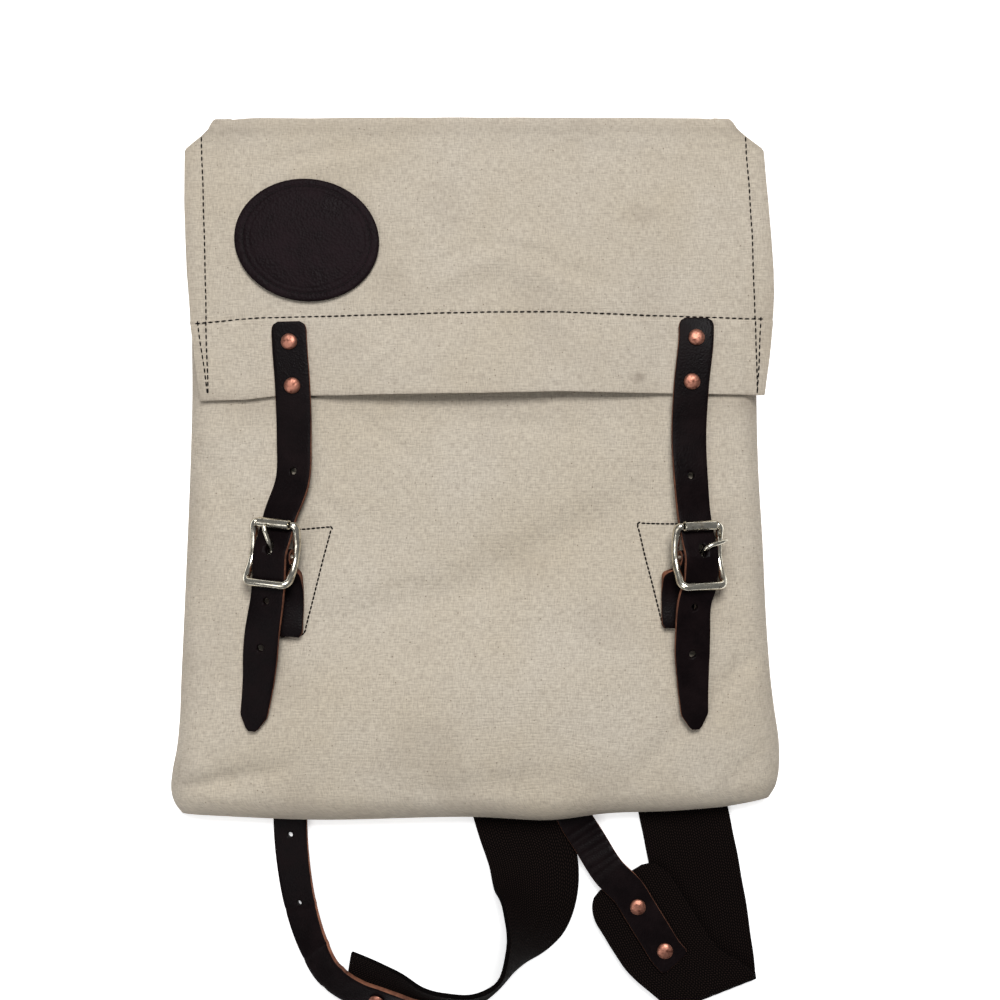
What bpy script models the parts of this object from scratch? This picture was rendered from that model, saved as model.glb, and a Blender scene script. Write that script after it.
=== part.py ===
"""A canvas scout rucksack lying on its back, with leather straps, roller buckles and webbing shoulder straps.

Sizes below are millimetres: X runs across the bag, Y towards its top and Z up from the surface it lies on.
Every piece is modelled on one plan and then moved together, so that the origin is under the middle of it all.
"""

import math
from collections import namedtuple

import bmesh
import bpy
import numpy as np
from mathutils import Matrix, Vector

MM = 0.001
GAP = 0.3  # left between solids that touch

# Cloth, leather and metal
CANVAS = 1.2
HEM = 2.4
WEB_WIDTH, WEB_THICK = 50.0, 2.4
STRAP_WIDTH, STRAP_THICK = 19.0, 2.6
PATCH_THICK = 3.0
CHAPE_WIDTH, CHAPE_THICK = 18.4, 1.8
TAB_THICK = 1.6
PUNCHED_HOLE = 3.6
RIVET_HEAD, RIVET_RISE, RIVET_SHANK = 9.0, 1.8, 2.8

# Bag: outline and crown height at each section, from its bottom end to its mouth
Section = namedtuple("Section", "y left right crown")
BAG = [
    Section(-194, -163.5, 163.5, 25),
    Section(-188, -167.5, 167.0, 26),
    Section(-181, -169.6, 168.8, 27.5),
    Section(-170, -169.0, 169.5, 29),
    Section(-157, -166.5, 169.0, 30.5),
    Section(-140, -164.8, 167.0, 31),
    Section(-120, -164.0, 164.8, 31),
    Section(-85, -162.5, 162.2, 29.5),
    Section(-43, -160.7, 160.3, 28),
    Section(0, -159.0, 157.8, 28),
    Section(40, -158.0, 156.8, 27),
    Section(77, -158.2, 156.5, 26),
    Section(130, -156.0, 155.5, 24),
    Section(165, -152.0, 151.0, 20.6),
    Section(184, -147.0, 145.5, 18.2),
]
BAG_END, BAG_MOUTH = BAG[0].y, BAG[-1].y
RIM = 9.0  # height of the bag's side edges
SIDE_ROUND, END_ROUND = 13.0, 15.0
DOME = 0.10  # how much lower the front is at its sides
Edge = namedtuple("Edge", "x y")
BOTTOM_EDGE = [
    Edge(-164, -193.5),
    Edge(-92, -196.5),
    Edge(2, -195),
    Edge(45, -196.5),
    Edge(70, -193.3),
    Edge(114, -191.4),
    Edge(140, -189),
    Edge(165, -184.5),
]
# The back stands on the straps under it, and lies on the surface at its two sides
BACK_LIFT = 7.0
BACK_DOWN, BACK_UP = 140.0, 122.0
Rest = namedtuple("Rest", "x y half_x half_y height")
RESTS = [
    Rest(2, 160, 100, 62, 8.8),
    Rest(-103, -128, 36, 64, 10.6),
    Rest(74, -122, 60, 70, 10.8),
]
# Dents of the front, and ridges where the depth is negative
Dent = namedtuple("Dent", "x y length width angle depth")
BAG_DENTS = [
    Dent(8, -62, 90, 22, 27, 2.6),
    Dent(-3, -127, 100, 26, 4, -2.0),
    Dent(-131, -170, 30, 6, 12, 2.4),
    Dent(126, -130, 42, 9, 45, 2.0),
    Dent(-140, -100, 34, 9, 92, 2.0),
    Dent(100, 4, 30, 8, 100, 2.0),
    Dent(-132, 8, 26, 9, 70, 1.6),
]
FLAP_RIDGES = [
    Dent(-76, 168, 36, 6, 11, -1.2),
    Dent(-12, 106, 36, 8, 24, -2.2),
    Dent(42, 104, 36, 8, -19, -1.8),
    Dent(-58, 60, 22, 6, 42, -1.8),
    Dent(-22, 64, 22, 6, 42, -1.4),
    Dent(60, 62, 24, 7, 130, -1.4),
]

# Lid flap
Side = namedtuple("Side", "y left right")
FLAP_SIDES = [
    Side(39, -150.1, 158.4),
    Side(60, -153.4, 161.2),
    Side(79, -155.8, 163.1),
    Side(95, -157.0, 163.9),
    Side(107, -158.1, 163.7),
    Side(146, -159.8, 161.2),
    Side(157, -160.0, 160.3),
    Side(175, -160.3, 159.2),
    Side(182, -152.6, 150.5),
    Side(187, -147.5, 144.8),
    Side(193, -144.5, 140.5),
]
HEM_EDGE = [
    Edge(-147, 36),
    Edge(-125, 36.5),
    Edge(-109, 38.5),
    Edge(3, 39.6),
    Edge(47, 40.7),
    Edge(156, 39.3),
]
FLAP_FROM, FLAP_FOLD, FLAP_REACH, FLAP_HEM, FLAP_END = BAG_MOUTH + GAP, 187.0, 6.0, 80.0, 39.0
FLAP_CLEAR = 0.7
HEM_LIFT, HEM_LIFT_FROM, HEM_LIFT_TO = 7.0, -88.0, 97.0

# Oval patch on the flap
PATCH_X, PATCH_Y, PATCH_LONG, PATCH_SHORT, PATCH_TURN = -91.9, 124.0, 79.0, 67.0, -8.0

# Closure straps: centre line above the buckle and below it, lift over what carries it, and roll
Line = namedtuple("Line", "x y roll lift")
Closure = namedtuple(
    "Closure",
    "side above below rivets holes buckle_x buckle_y yaw pitch roll drift chape_x chape_end slot prong",
)
CLOSURES = [
    Closure(
        side="left",
        above=[
            Line(-101.2, 79, 0, 0),
            Line(-101, 72, 0, 0),
            Line(-99, 44, 0, 0),
            Line(-98.2, 16, -6, 1),
            Line(-98.9, -8, -12, 1),
        ],
        below=[Line(-114.4, -90, -6, 6), Line(-117.2, -118, -3, 1.6), Line(-121.0, -143.5, -2, 0.6)],
        rivets=[68.6, 44.5],
        holes=[-2.1, -72.5, -97.8],
        buckle_x=-108.3,
        buckle_y=-47.7,
        yaw=-7.5,
        pitch=-7.0,
        roll=-16.0,
        drift=0.0,
        chape_x=-102.3,
        chape_end=-92.0,
        slot=(-0.4, 2.8),
        prong=[
            (0, 2.2, 3.9),
            (-0.4, 4.2, 5.6),
            (-1.0, 6.2, 7.6),
            (-2.0, 8.8, 8.9),
            (-3.2, 11.6, 9.6),
            (-4.2, 14.0, 9.8),
        ],
    ),
    Closure(
        side="right",
        above=[
            Line(120.6, 81, 0, 0.8),
            Line(120.4, 72, 0, 0.8),
            Line(117.6, 44, 0, 0.8),
            Line(116.4, 16, 6, 1),
            Line(117.4, -8, 12, 1),
        ],
        below=[Line(117.6, -92, 6, 5), Line(118.2, -120, 3, 1.6), Line(119.8, -142.5, 2, 0.6)],
        rivets=[69.7, 46.4],
        holes=[-4.0, -76.0, -100.5],
        buckle_x=120.4,
        buckle_y=-48.9,
        yaw=3.5,
        pitch=-6.0,
        roll=16.0,
        drift=-2.8,
        chape_x=110.5,
        chape_end=-87.5,
        slot=(0.8, 2.9),
        prong=[
            (0.4, 1.6, 4),
            (1.2, 3, 6),
            (2.4, 4.2, 8.4),
            (5.4, 5.6, 9.4),
            (9.2, 6.4, 9.2),
            (12.4, 7.2, 8.4),
            (14.4, 7.8, 7.4),
        ],
    ),
]
# Width of a closure strap at distances from its point
TIP_AT = (0.0, 8.5, 42.0)
TIP_WIDTHS = (3.6, 14.8, STRAP_WIDTH)
SLOT = (4.4, 7.8)
BUCKLE_ABOVE_BAG = 7.2
FRAME_HALF_WIDTH, FRAME_HALF_LENGTH, FRAME_ARCH = 12.6, 16.3, 6.0
FRAME_TOP_CORNER, FRAME_FOOT_CORNER = 2.4, 3.4
FRAME_ROD, TOP_BAR_ROD, CENTRE_BAR_ROD, PRONG_ROD = 2.2, 1.5, 1.9, 1.2
ROLLER_OUTER, ROLLER_LENGTH = 2.75, 18.4
# How the strap runs through its buckle, in the buckle's own plane, and its share of the closure's drift aside
Weave = namedtuple("Weave", "y z drift")
WEAVE = [
    Weave(20.5, 0.3, 0),
    Weave(15.0, 1.55, 0),
    Weave(8, 3.7, 0),
    Weave(0, 6.15, 0),
    Weave(-8, 4.1, 0),
    Weave(-15.4, 2.1, 0.2),
    Weave(-21, 1.0, 1.0),
]
# How the chape's two layers leave the centre bar: their middle, half the distance between them,
# and their shares of the way aside and of the roll
Layer = namedtuple("Layer", "y middle rise aside turn")
CHAPE_LAYERS = [Layer(0, 0, 3.1, 0, 1), Layer(-4, -2.4, 1.8, 0.02, 1), Layer(-8, -3.6, 1.15, 0.30, 0.8)]
CHAPE_FLAT, CHAPE_FLAT_LIFT = 14.5, 1.1  # how far below the bar it lies on the bag, and its lift there
Rise = namedtuple("Rise", "s rise")

# Shoulder straps: the webbing's centre line from the yoke to its riveted end
WEB_LEFT = [
    Line(-40, 170, 0, 0),
    Line(-38, 150, 0, 0),
    Line(-32, 110, 0, 0),
    Line(-18, 20, 0, 0),
    Line(-4, -70, 0, 0),
    Line(8, -140, 0, 0),
    Line(17.5, -172, 0, 0.3),
    Line(25, -198, 0.5, 0.5),
    Line(33, -224, 7, 0.5),
    Line(33.5, -240, 24, 0.3),
    Line(30.5, -254, 46, 0.8),
    Line(25.5, -266, 64, 1.0),
    Line(18, -278, 75, 1.0),
    Line(6, -288, 70, 1.0),
    Line(-10, -294, 59, 0.6),
    Line(-29, -297, 45, 0.3),
    Line(-49, -294, 34, 0),
    Line(-72, -288.5, 26, 0),
]
WEB_RIGHT = [
    Line(44, 170, 0, 0),
    Line(48, 150, 0, 0),
    Line(57, 100, 0, 0),
    Line(84, -34, 0, 0),
    Line(104, -130, 0, 0),
    Line(117, -192, 0, 0),
    Line(126, -238, 0, 0),
    Line(131, -270, 0, 0),
    Line(134.5, -300, 0, 0),
    Line(143.4, -380, 0, 0),
]
FOLD_X, FOLD_Y, FOLD_TURN, FOLD_RADIUS = 130.5, -293.0, -68.5, 3.4
FOLD_SLIDE, FOLD_TWIST, FOLD_EASE = 9.5, -5.0, 30.0  # how the upper layer lies askew over the lower one
FOLD_CORNER = 5.0  # how far the fold's outer corner is drawn in
WEB_END_ROUND, WEB_END_SHARE = 17.0, 0.55  # rounding of the folded end, and its share of the width there
YOKE_RISE = 5.3  # underside of the webbing where it lies on the yoke patch
YOKE_RISE_FROM, YOKE_RISE_TO = 98.0, 130.0
# Billets: the lift clears the hidden buckle's bars, the other webbing and the end of their own
BILLET_LEFT = [
    Line(-103, -119, 0, 3.0),
    Line(-103, -137, 0, 3.0),
    Line(-103, -143.5, 0, 0.9),
    Line(-103, -148, 0, 0.2),
    Line(-103, -152.5, 0, 0.9),
    Line(-103.1, -159, 0, 3.1),
    Line(-103.5, -176, 0, 1.0),
    Line(-104.6, -197, -3, 0.2),
    Line(-102.8, -222, -10, 0.2),
    Line(-98.4, -246, -17, 0.6),
    Line(-91.0, -266, -23, 4.0),
    Line(-81.5, -280, -26, 10.2),
]
BILLET_RIGHT = [
    Line(71.2, -117.5, 0, 3.1),
    Line(62.2, -132.6, 0, 3.1),
    Line(58.9, -138.3, 0, 0.9),
    Line(56.6, -142.2, 0, 0.2),
    Line(54.4, -146.1, 0, 0.9),
    Line(51.2, -151.8, 0, 3.5),
    Line(48.2, -164.0, 0, 2.9),
    Line(48.6, -178.0, 0, 2.9),
    Line(55.0, -195.5, 0, 3.2),
    Line(64.6, -211.0, 0, 4.4),
    Line(74.0, -225.5, 0, 7.4),
]
BILLET_OVERLAP = 57.0  # of leather on the end of the webbing
BILLET_RIVETS = (10.0, 38.0)  # from the leather's end
BILLET_HOLES = {"left": (-207, -245), "right": ()}
YOKE_PATCH = (2.0, 158.0, 150.0, 40.0)  # centre, length and width
YOKE_RIVETS = [(-52, 163), (-26, 163), (32, 163), (58, 163)]
Lower = namedtuple("Lower", "side x y heading anchor_x anchor_y")
LOWERS = [
    Lower("left", -103.1, -148.0, 90.0, -102.0, -98.0),
    Lower("right", 56.6, -142.2, 60.0, 88.0, -100.0),
]
LOWER_HALF_WIDTH, LOWER_HALF_LENGTH, LOWER_ROD, LOWER_BAR_UP = 11.9, 11.0, 1.3, 6.5

# Finish of each material: colour, roughness, metallic
FINISHES = {
    "canvas": ((0.62, 0.56, 0.47), 0.92, 0.0),
    "leather": ((0.018, 0.009, 0.009), 0.45, 0.0),
    "webbing": ((0.010, 0.006, 0.005), 0.95, 0.0),
    "nickel": ((0.72, 0.69, 0.62), 0.22, 1.0),
    "copper": ((0.62, 0.27, 0.17), 0.35, 1.0),
}


def clear_scene():
    for obj in list(bpy.data.objects):
        bpy.data.objects.remove(obj, do_unlink=True)


def finish(kind):
    """The Principled material of one kind, made once."""
    found = bpy.data.materials.get(kind)
    if found:
        return found
    colour, roughness, metallic = FINISHES[kind]
    material = bpy.data.materials.new(kind)
    material.use_nodes = True
    shader = material.node_tree.nodes["Principled BSDF"]
    shader.inputs["Base Color"].default_value = (*colour, 1)
    shader.inputs["Roughness"].default_value = roughness
    shader.inputs["Metallic"].default_value = metallic
    return material


def spline(rows, column, at):
    """Smooth value of a column at a place along the rows' first column, which rises."""
    knots = np.array([row[0] for row in rows], float)
    values = np.array([getattr(row, column) for row in rows], float)
    slopes = np.gradient(values, knots)
    at = float(np.clip(at, knots[0], knots[-1]))
    i = int(np.clip(np.searchsorted(knots, at) - 1, 0, len(knots) - 2))
    span = knots[i + 1] - knots[i]
    t = (at - knots[i]) / span
    start = (1 + 2 * t) * (1 - t) ** 2 * values[i] + t * (1 - t) ** 2 * span * slopes[i]
    end = t * t * (3 - 2 * t) * values[i + 1] + t * t * (t - 1) * span * slopes[i + 1]
    return start + end


def straight(rows, column, at):
    return float(np.interp(at, [row[0] for row in rows], [getattr(row, column) for row in rows]))


def fade(value, start, end):
    """0 at start, 1 at end, smooth between."""
    t = min(max((value - start) / (end - start), 0.0), 1.0)
    return t * t * (3 - 2 * t)


def rounded(distance, radius):
    """Height of a rounded edge, 0 to 1, at a distance in from the edge."""
    t = min(max(distance / radius, 0.0), 1.0)
    return math.sqrt(1 - (1 - t) ** 2)


def dented(dents, x, y):
    """How far a list of dents lowers a surface at one place."""
    total = 0.0
    for dent in dents:
        turn = math.radians(dent.angle)
        along = (x - dent.x) * math.cos(turn) + (y - dent.y) * math.sin(turn)
        aside = (y - dent.y) * math.cos(turn) - (x - dent.x) * math.sin(turn)
        total += dent.depth * math.exp(-((along / dent.length) ** 2) - (aside / dent.width) ** 2)
    return total


def bag_under(x, y):
    """Height of the bag's back above the surface."""
    base = BACK_LIFT
    for rest in RESTS:
        near = fade(abs(x - rest.x), rest.half_x, rest.half_x * 0.6)
        near *= fade(abs(y - rest.y), rest.half_y, rest.half_y * 0.6)
        base = max(base, BACK_LIFT + (rest.height - BACK_LIFT) * near)
    return base * fade(abs(x), BACK_DOWN, BACK_UP)


def bag_point(u, v, front):
    """A point of the bag's outside: u runs across it from -1 to 1, v from its bottom end to its mouth."""
    left, right = spline(BAG, "left", v), spline(BAG, "right", v)
    half = (right - left) / 2
    x = (left + right) / 2 + u * half
    y = v + (spline(BOTTOM_EDGE, "y", x) - BAG_END) * fade(v, -110, -186)
    edge = rounded((1 - abs(u)) * half, SIDE_ROUND) * rounded(v - BAG_END, END_ROUND)
    if front:
        crown = spline(BAG, "crown", v) * (1 - DOME * u * u)
        z = RIM + (crown - RIM - dented(BAG_DENTS, x, y)) * edge
    else:
        z = RIM - (RIM - bag_under(x, y)) * edge
    return x, y, z


def front_height(x, y, reach=0.94):
    """Height of the bag's front at a place on the plan, held level past its sides, without its dents."""
    left, right = spline(BAG, "left", y), spline(BAG, "right", y)
    u = (2 * x - left - right) / (right - left)
    u = min(max(u, -reach), reach)
    edge = rounded((1 - abs(u)) * (right - left) / 2, SIDE_ROUND)
    return RIM + (spline(BAG, "crown", y) * (1 - DOME * u * u) - RIM) * edge


def flap_inner(x, y):
    """Height of the flap's underside over the bag's front."""
    between = (x - HEM_LIFT_FROM) / (HEM_LIFT_TO - HEM_LIFT_FROM)
    across = math.sin(math.pi * between) ** 0.8 if 0 < between < 1 else 0.0
    lift = HEM_LIFT * across * fade(y, 105, FLAP_END)
    ridge = -dented(FLAP_RIDGES, x, y)
    return front_height(x, y) + FLAP_CLEAR + lift + ridge


def flap_top(x, y):
    return flap_inner(x, y) + (HEM if y < FLAP_HEM else CANVAS) + GAP


def collection(name):
    made = bpy.data.collections.new(name)
    bpy.context.scene.collection.children.link(made)
    return made


def mesh_object(name, kind, bm, group):
    """An object from a bmesh in millimetres, with its material, in one collection."""
    bmesh.ops.scale(bm, vec=(MM, MM, MM), verts=bm.verts)
    mesh = bpy.data.meshes.new(name)
    bm.to_mesh(mesh)
    bm.free()
    obj = bpy.data.objects.new(name, mesh)
    group.objects.link(obj)
    if kind:
        mesh.materials.append(finish(kind))
        mesh.shade_smooth()
        mesh.set_sharp_from_angle(angle=math.radians(40))
    return obj


def grid_sheet(name, kind, rows, thickness, group, offset=0.0, ring=False, capped=False):
    """A sheet through rows of points, closed round each row if ring, given its wall by Solidify."""
    bm = bmesh.new()
    grid = [[bm.verts.new(point) for point in row] for row in rows]
    count = len(grid[0])
    for low, high in zip(grid, grid[1:]):
        for k in range(count if ring else count - 1):
            n = (k + 1) % count
            bm.faces.new((low[k], high[k], high[n], low[n]))
    if capped:
        half = count // 2
        end = grid[0]
        for k in range(half):
            near, far = (count - k) % count, count - k - 1
            corners = [end[k], end[k + 1], end[far], end[near]]
            bm.faces.new(list(dict.fromkeys(corners)))
    obj = mesh_object(name, kind, bm, group)
    solid = obj.modifiers.new("Wall", "SOLIDIFY")
    solid.thickness = thickness * MM
    solid.offset = offset
    return obj


Knot = namedtuple("Knot", "s x y z roll")
Station = namedtuple("Station", "centre across normal")


def knots_through(places):
    """Knots for a smooth line through rows of x, y, z, roll, measured along it."""
    points = np.array([row[:3] for row in places], float)
    steps = np.concatenate([[0], np.cumsum(np.linalg.norm(np.diff(points, axis=0), axis=1))])
    return [Knot(s, *row) for s, row in zip(steps, places)]


def smooth_rows(places, spacing):
    """Rows of x, y, z, roll at an even spacing along the smooth line through the given ones."""
    knots = knots_through(places)
    count = max(round(knots[-1].s / spacing), 2)
    run = np.linspace(0, knots[-1].s, count + 1)
    return [[spline(knots, name, s) for name in ("x", "y", "z", "roll")] for s in run]


def stations(rows):
    """A frame at each row: across points to the right of the way the strap runs, turned up by the roll."""
    made = []
    for i, (x, y, z, roll) in enumerate(rows):
        way = (Vector(rows[min(i + 1, len(rows) - 1)][:3]) - Vector(rows[max(i - 1, 0)][:3])).normalized()
        level = way.cross(Vector((0, 0, 1))).normalized()
        across = Matrix.Rotation(-math.radians(roll), 3, way) @ level
        made.append(Station(Vector((x, y, z)), across, across.cross(way).normalized()))
    return made


def lying(line, width, thickness):
    """Centre height of a strap whose lower edge is at its lift over the surface."""
    turn = math.radians(abs(line.roll))
    return line.lift + width / 2 * math.sin(turn) + thickness / 2 * math.cos(turn)


def ribbon(name, kind, frames, width, thickness, group, columns=1, widths=None):
    """A flat strap through its stations."""
    rows = []
    for i, frame in enumerate(frames):
        half = (widths[i] if widths else width) / 2
        rows.append([frame.centre + frame.across * half * (2 * k / columns - 1) for k in range(columns + 1)])
    return grid_sheet(name, kind, rows, thickness, group)


def drill(obj, frames, group, depth=9.0, slots=(), ovals=()):
    """Round holes through a strap at the given stations, and square or oval ones at places of given sizes."""
    bm = bmesh.new()
    for frame in frames:
        place = Matrix.Translation(frame.centre) @ frame.normal.to_track_quat("Z", "Y").to_matrix().to_4x4()
        size = PUNCHED_HOLE / 2
        bmesh.ops.create_cone(
            bm, cap_ends=True, segments=8, radius1=size, radius2=size, depth=depth, matrix=place
        )
    for matrix, size in slots:
        bmesh.ops.create_cube(bm, size=1.0, matrix=matrix @ Matrix.Diagonal((*size, 1)))
    for matrix, size in ovals:
        place = matrix @ Matrix.Diagonal((*size, 1))
        bmesh.ops.create_cone(bm, cap_ends=True, segments=8, radius1=0.5, radius2=0.5, depth=1, matrix=place)
    cutter = mesh_object(f"{obj.name}_cutter", None, bm, group)
    cutter.hide_render = True
    cutter.display_type = "WIRE"
    cut = obj.modifiers.new("Holes", "BOOLEAN")
    cut.operation = "DIFFERENCE"
    cut.object = cutter


def rivet(name, frame, thickness, group, below=False):
    """A domed head on a shank that fills the hole of the leather under it."""
    up = -frame.normal if below else frame.normal
    start = thickness / 2 + GAP
    rings = [
        (RIVET_SHANK / 2, GAP - thickness / 2),
        (RIVET_SHANK / 2, start),
        (RIVET_HEAD / 2, start),
        (RIVET_HEAD / 2 * 0.86, start + RIVET_RISE * 0.62),
    ]
    bm = bmesh.new()
    place = Matrix.Translation(frame.centre) @ up.to_track_quat("Z", "Y").to_matrix().to_4x4()
    count = 9
    loops = []
    for radius, z in rings:
        corners = [(math.cos(k * math.tau / count), math.sin(k * math.tau / count)) for k in range(count)]
        loops.append([bm.verts.new(place @ Vector((radius * c, radius * s, z))) for c, s in corners])
    for low, high in zip(loops, loops[1:]):
        for k in range(count):
            n = (k + 1) % count
            bm.faces.new((low[k], low[n], high[n], high[k]))
    bm.faces.new(reversed(loops[0]))
    crown = bm.verts.new(place @ Vector((0, 0, start + RIVET_RISE)))
    for k in range(count):
        bm.faces.new((loops[-1][k], loops[-1][(k + 1) % count], crown))
    mesh_object(name, "copper", bm, group)


def rod(name, kind, points, radius, group, cyclic=False, thin=None, sides=2):
    """A wire through the points as a mesh object. thin gives each point its share of the radius."""
    curve = bpy.data.curves.new(name, "CURVE")
    curve.dimensions = "3D"
    curve.bevel_depth = radius * MM
    curve.bevel_resolution = sides
    curve.use_fill_caps = True
    line = curve.splines.new("POLY")
    line.points.add(len(points) - 1)
    for i, (place, point) in enumerate(zip(points, line.points)):
        point.co = (*(Vector(place) * MM), 1)
        point.radius = thin[i] if thin else 1.0
    line.use_cyclic_u = cyclic
    holder = bpy.data.objects.new(name, curve)
    bpy.context.scene.collection.objects.link(holder)
    mesh = bpy.data.meshes.new_from_object(holder.evaluated_get(bpy.context.evaluated_depsgraph_get()))
    bpy.data.objects.remove(holder)
    bpy.data.curves.remove(curve)
    bm = bmesh.new()
    bm.from_mesh(mesh)
    bpy.data.meshes.remove(mesh)
    bmesh.ops.remove_doubles(bm, verts=bm.verts, dist=0.00001)
    bmesh.ops.scale(bm, vec=(1 / MM,) * 3, verts=bm.verts)
    return mesh_object(name, kind, bm, group)


def unite(obj, other):
    """Joins a second solid to the first with a Boolean, and drops the second."""
    join = obj.modifiers.new("Join", "BOOLEAN")
    join.operation = "UNION"
    join.object = other
    mesh = bpy.data.meshes.new_from_object(obj.evaluated_get(bpy.context.evaluated_depsgraph_get()))
    obj.modifiers.clear()
    obj.data = mesh
    bpy.data.objects.remove(other)


def frame_outline(half_x, half_y, top_corner, foot_corner, arch):
    """Points round a buckle frame in its own plane, its two ends raised by the arch."""
    flat = []
    for cx, cy, start, corner in (
        (1, 1, 0, top_corner),
        (-1, 1, 90, top_corner),
        (-1, -1, 180, foot_corner),
        (1, -1, 270, foot_corner),
    ):
        for k in range(4):
            turn = math.radians(start + 30 * k)
            x = cx * (half_x - corner) + corner * math.cos(turn)
            flat.append((x, cy * (half_y - corner) + corner * math.sin(turn)))
        if (cx, cy) in ((-1, 1), (1, -1)):
            flat += [(cx * half_x, cy * share * half_y) for share in (0.36, -0.3)]
    return [(x, y, arch * (y / half_y) ** 2) for x, y in flat]


def make_bag(group):
    """The hollow canvas shell, open at its mouth."""
    corner = [1 - SIDE_ROUND * (1 - math.cos(math.radians(turn))) / 160 for turn in (0, 32, 58, 90)]
    middle = list(np.linspace(corner[-1], -corner[-1], 11))[1:-1]
    over = corner + middle + [-u for u in reversed(corner)]
    ends = [BAG_END + END_ROUND * (1 - math.cos(math.radians(turn))) for turn in (16, 36, 58, 90)]
    along = ends + list(np.linspace(ends[-1], BAG_MOUTH, 12))[1:]
    rows = []
    for v in along:
        top = [bag_point(u, v, True) for u in over]
        back = [bag_point(u, v, False) for u in reversed(over[1:-1])]
        rows.append(top + back)
    return grid_sheet("bag_body", "canvas", rows, CANVAS, group, offset=-1.0, ring=True, capped=True)


def flap_sides(y):
    return straight(FLAP_SIDES, "left", y), straight(FLAP_SIDES, "right", y)


def make_flap(group):
    """The flap: level with the bag's back wall, round the fold, and down the front to its hem."""
    half = [0.0, 0.2, 0.4, 0.6, 0.78, 0.92, 1.0]
    columns = [-u for u in half[:0:-1]] + half
    rows = []
    left, right = flap_sides(FLAP_FOLD)
    for turn in (None, 0, 45, 90, 135, 180):
        row = []
        swing = math.radians(turn or 0)
        y = FLAP_FROM if turn is None else FLAP_FOLD + FLAP_REACH * math.sin(swing)
        if turn is not None:
            left, right = flap_sides(y)
        for u in columns:
            x = (left + right) / 2 + u * (right - left) / 2
            low = bag_under(x, BAG_MOUTH) + CANVAS
            high = flap_inner(x, FLAP_FOLD)
            row.append((x, y, low + (high - low) * (1 - math.cos(swing)) / 2))
        rows.append(row)
    for y in (182, 175, 160, 145, 130, 117, 104, 92, FLAP_HEM + 0.6, FLAP_HEM - 0.6, 66, 52, FLAP_END):
        left, right = flap_sides(y)
        row = []
        for u in columns:
            x = (left + right) / 2 + u * (right - left) / 2
            skewed = y + (straight(HEM_EDGE, "y", x) - FLAP_END) * fade(y, 84, FLAP_END)
            row.append((x, skewed, flap_inner(x, skewed)))
        rows.append(row)
    obj = grid_sheet("lid_flap", "canvas", rows, HEM, group, offset=1.0)
    hem = obj.vertex_groups.new(name="hem")
    first = (len(rows) - 4) * len(columns)
    hem.add(list(range(first, len(rows) * len(columns))), 1.0, "REPLACE")
    wall = obj.modifiers["Wall"]
    wall.vertex_group = "hem"
    wall.thickness_vertex_group = CANVAS / HEM
    return obj


def make_patch(group):
    """The oval patch, bent a little to the flap it is sewn on."""
    turn = math.radians(PATCH_TURN)
    bm = bmesh.new()
    count = 26
    loops = []
    for share in (0.5, 0.85, 1.0):
        row = []
        for k in range(count):
            angle = k * math.tau / count
            a, b = share * PATCH_LONG / 2 * math.cos(angle), share * PATCH_SHORT / 2 * math.sin(angle)
            x = PATCH_X + a * math.cos(turn) - b * math.sin(turn)
            y = PATCH_Y + a * math.sin(turn) + b * math.cos(turn)
            row.append(bm.verts.new((x, y, flap_top(x, y))))
        loops.append(row)
    for low, high in zip(loops, loops[1:]):
        for k in range(count):
            n = (k + 1) % count
            bm.faces.new((low[k], high[k], high[n], low[n]))
    bm.faces.new(loops[0])
    obj = mesh_object("oval_patch", "leather", bm, group)
    wall = obj.modifiers.new("Wall", "SOLIDIFY")
    wall.thickness = PATCH_THICK * MM
    wall.offset = 1.0
    return obj


def buckle_frame_of(closure):
    """The placing matrix of one closure's buckle, at the middle of its centre bar."""
    z = front_height(closure.buckle_x, closure.buckle_y) + BUCKLE_ABOVE_BAG
    turned = Matrix.Rotation(math.radians(closure.yaw), 4, "Z")
    turned @= Matrix.Rotation(math.radians(closure.pitch), 4, "X")
    turned @= Matrix.Rotation(math.radians(closure.roll), 4, "Y")
    return Matrix.Translation((closure.buckle_x, closure.buckle_y, z)) @ turned


def strap_stations(closure, place):
    """The closure strap from its riveted top, through the buckle, to its point."""
    rows = []
    for line in closure.above + closure.below:
        on_flap = line.y > FLAP_END
        carried = flap_top(line.x, line.y) if on_flap else front_height(line.x, line.y) + GAP
        rows.append((line.x, line.y, carried + GAP + lying(line, STRAP_WIDTH, STRAP_THICK), line.roll))
    through = []
    for weave in WEAVE:
        through.append((*(place @ Vector((closure.drift * weave.drift, weave.y, weave.z))), closure.roll))
    rows[len(closure.above) : len(closure.above)] = through
    return stations(smooth_rows(rows, 6.3))


def nearest(frames, y):
    return min(frames, key=lambda frame: abs(frame.centre.y - y))


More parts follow.
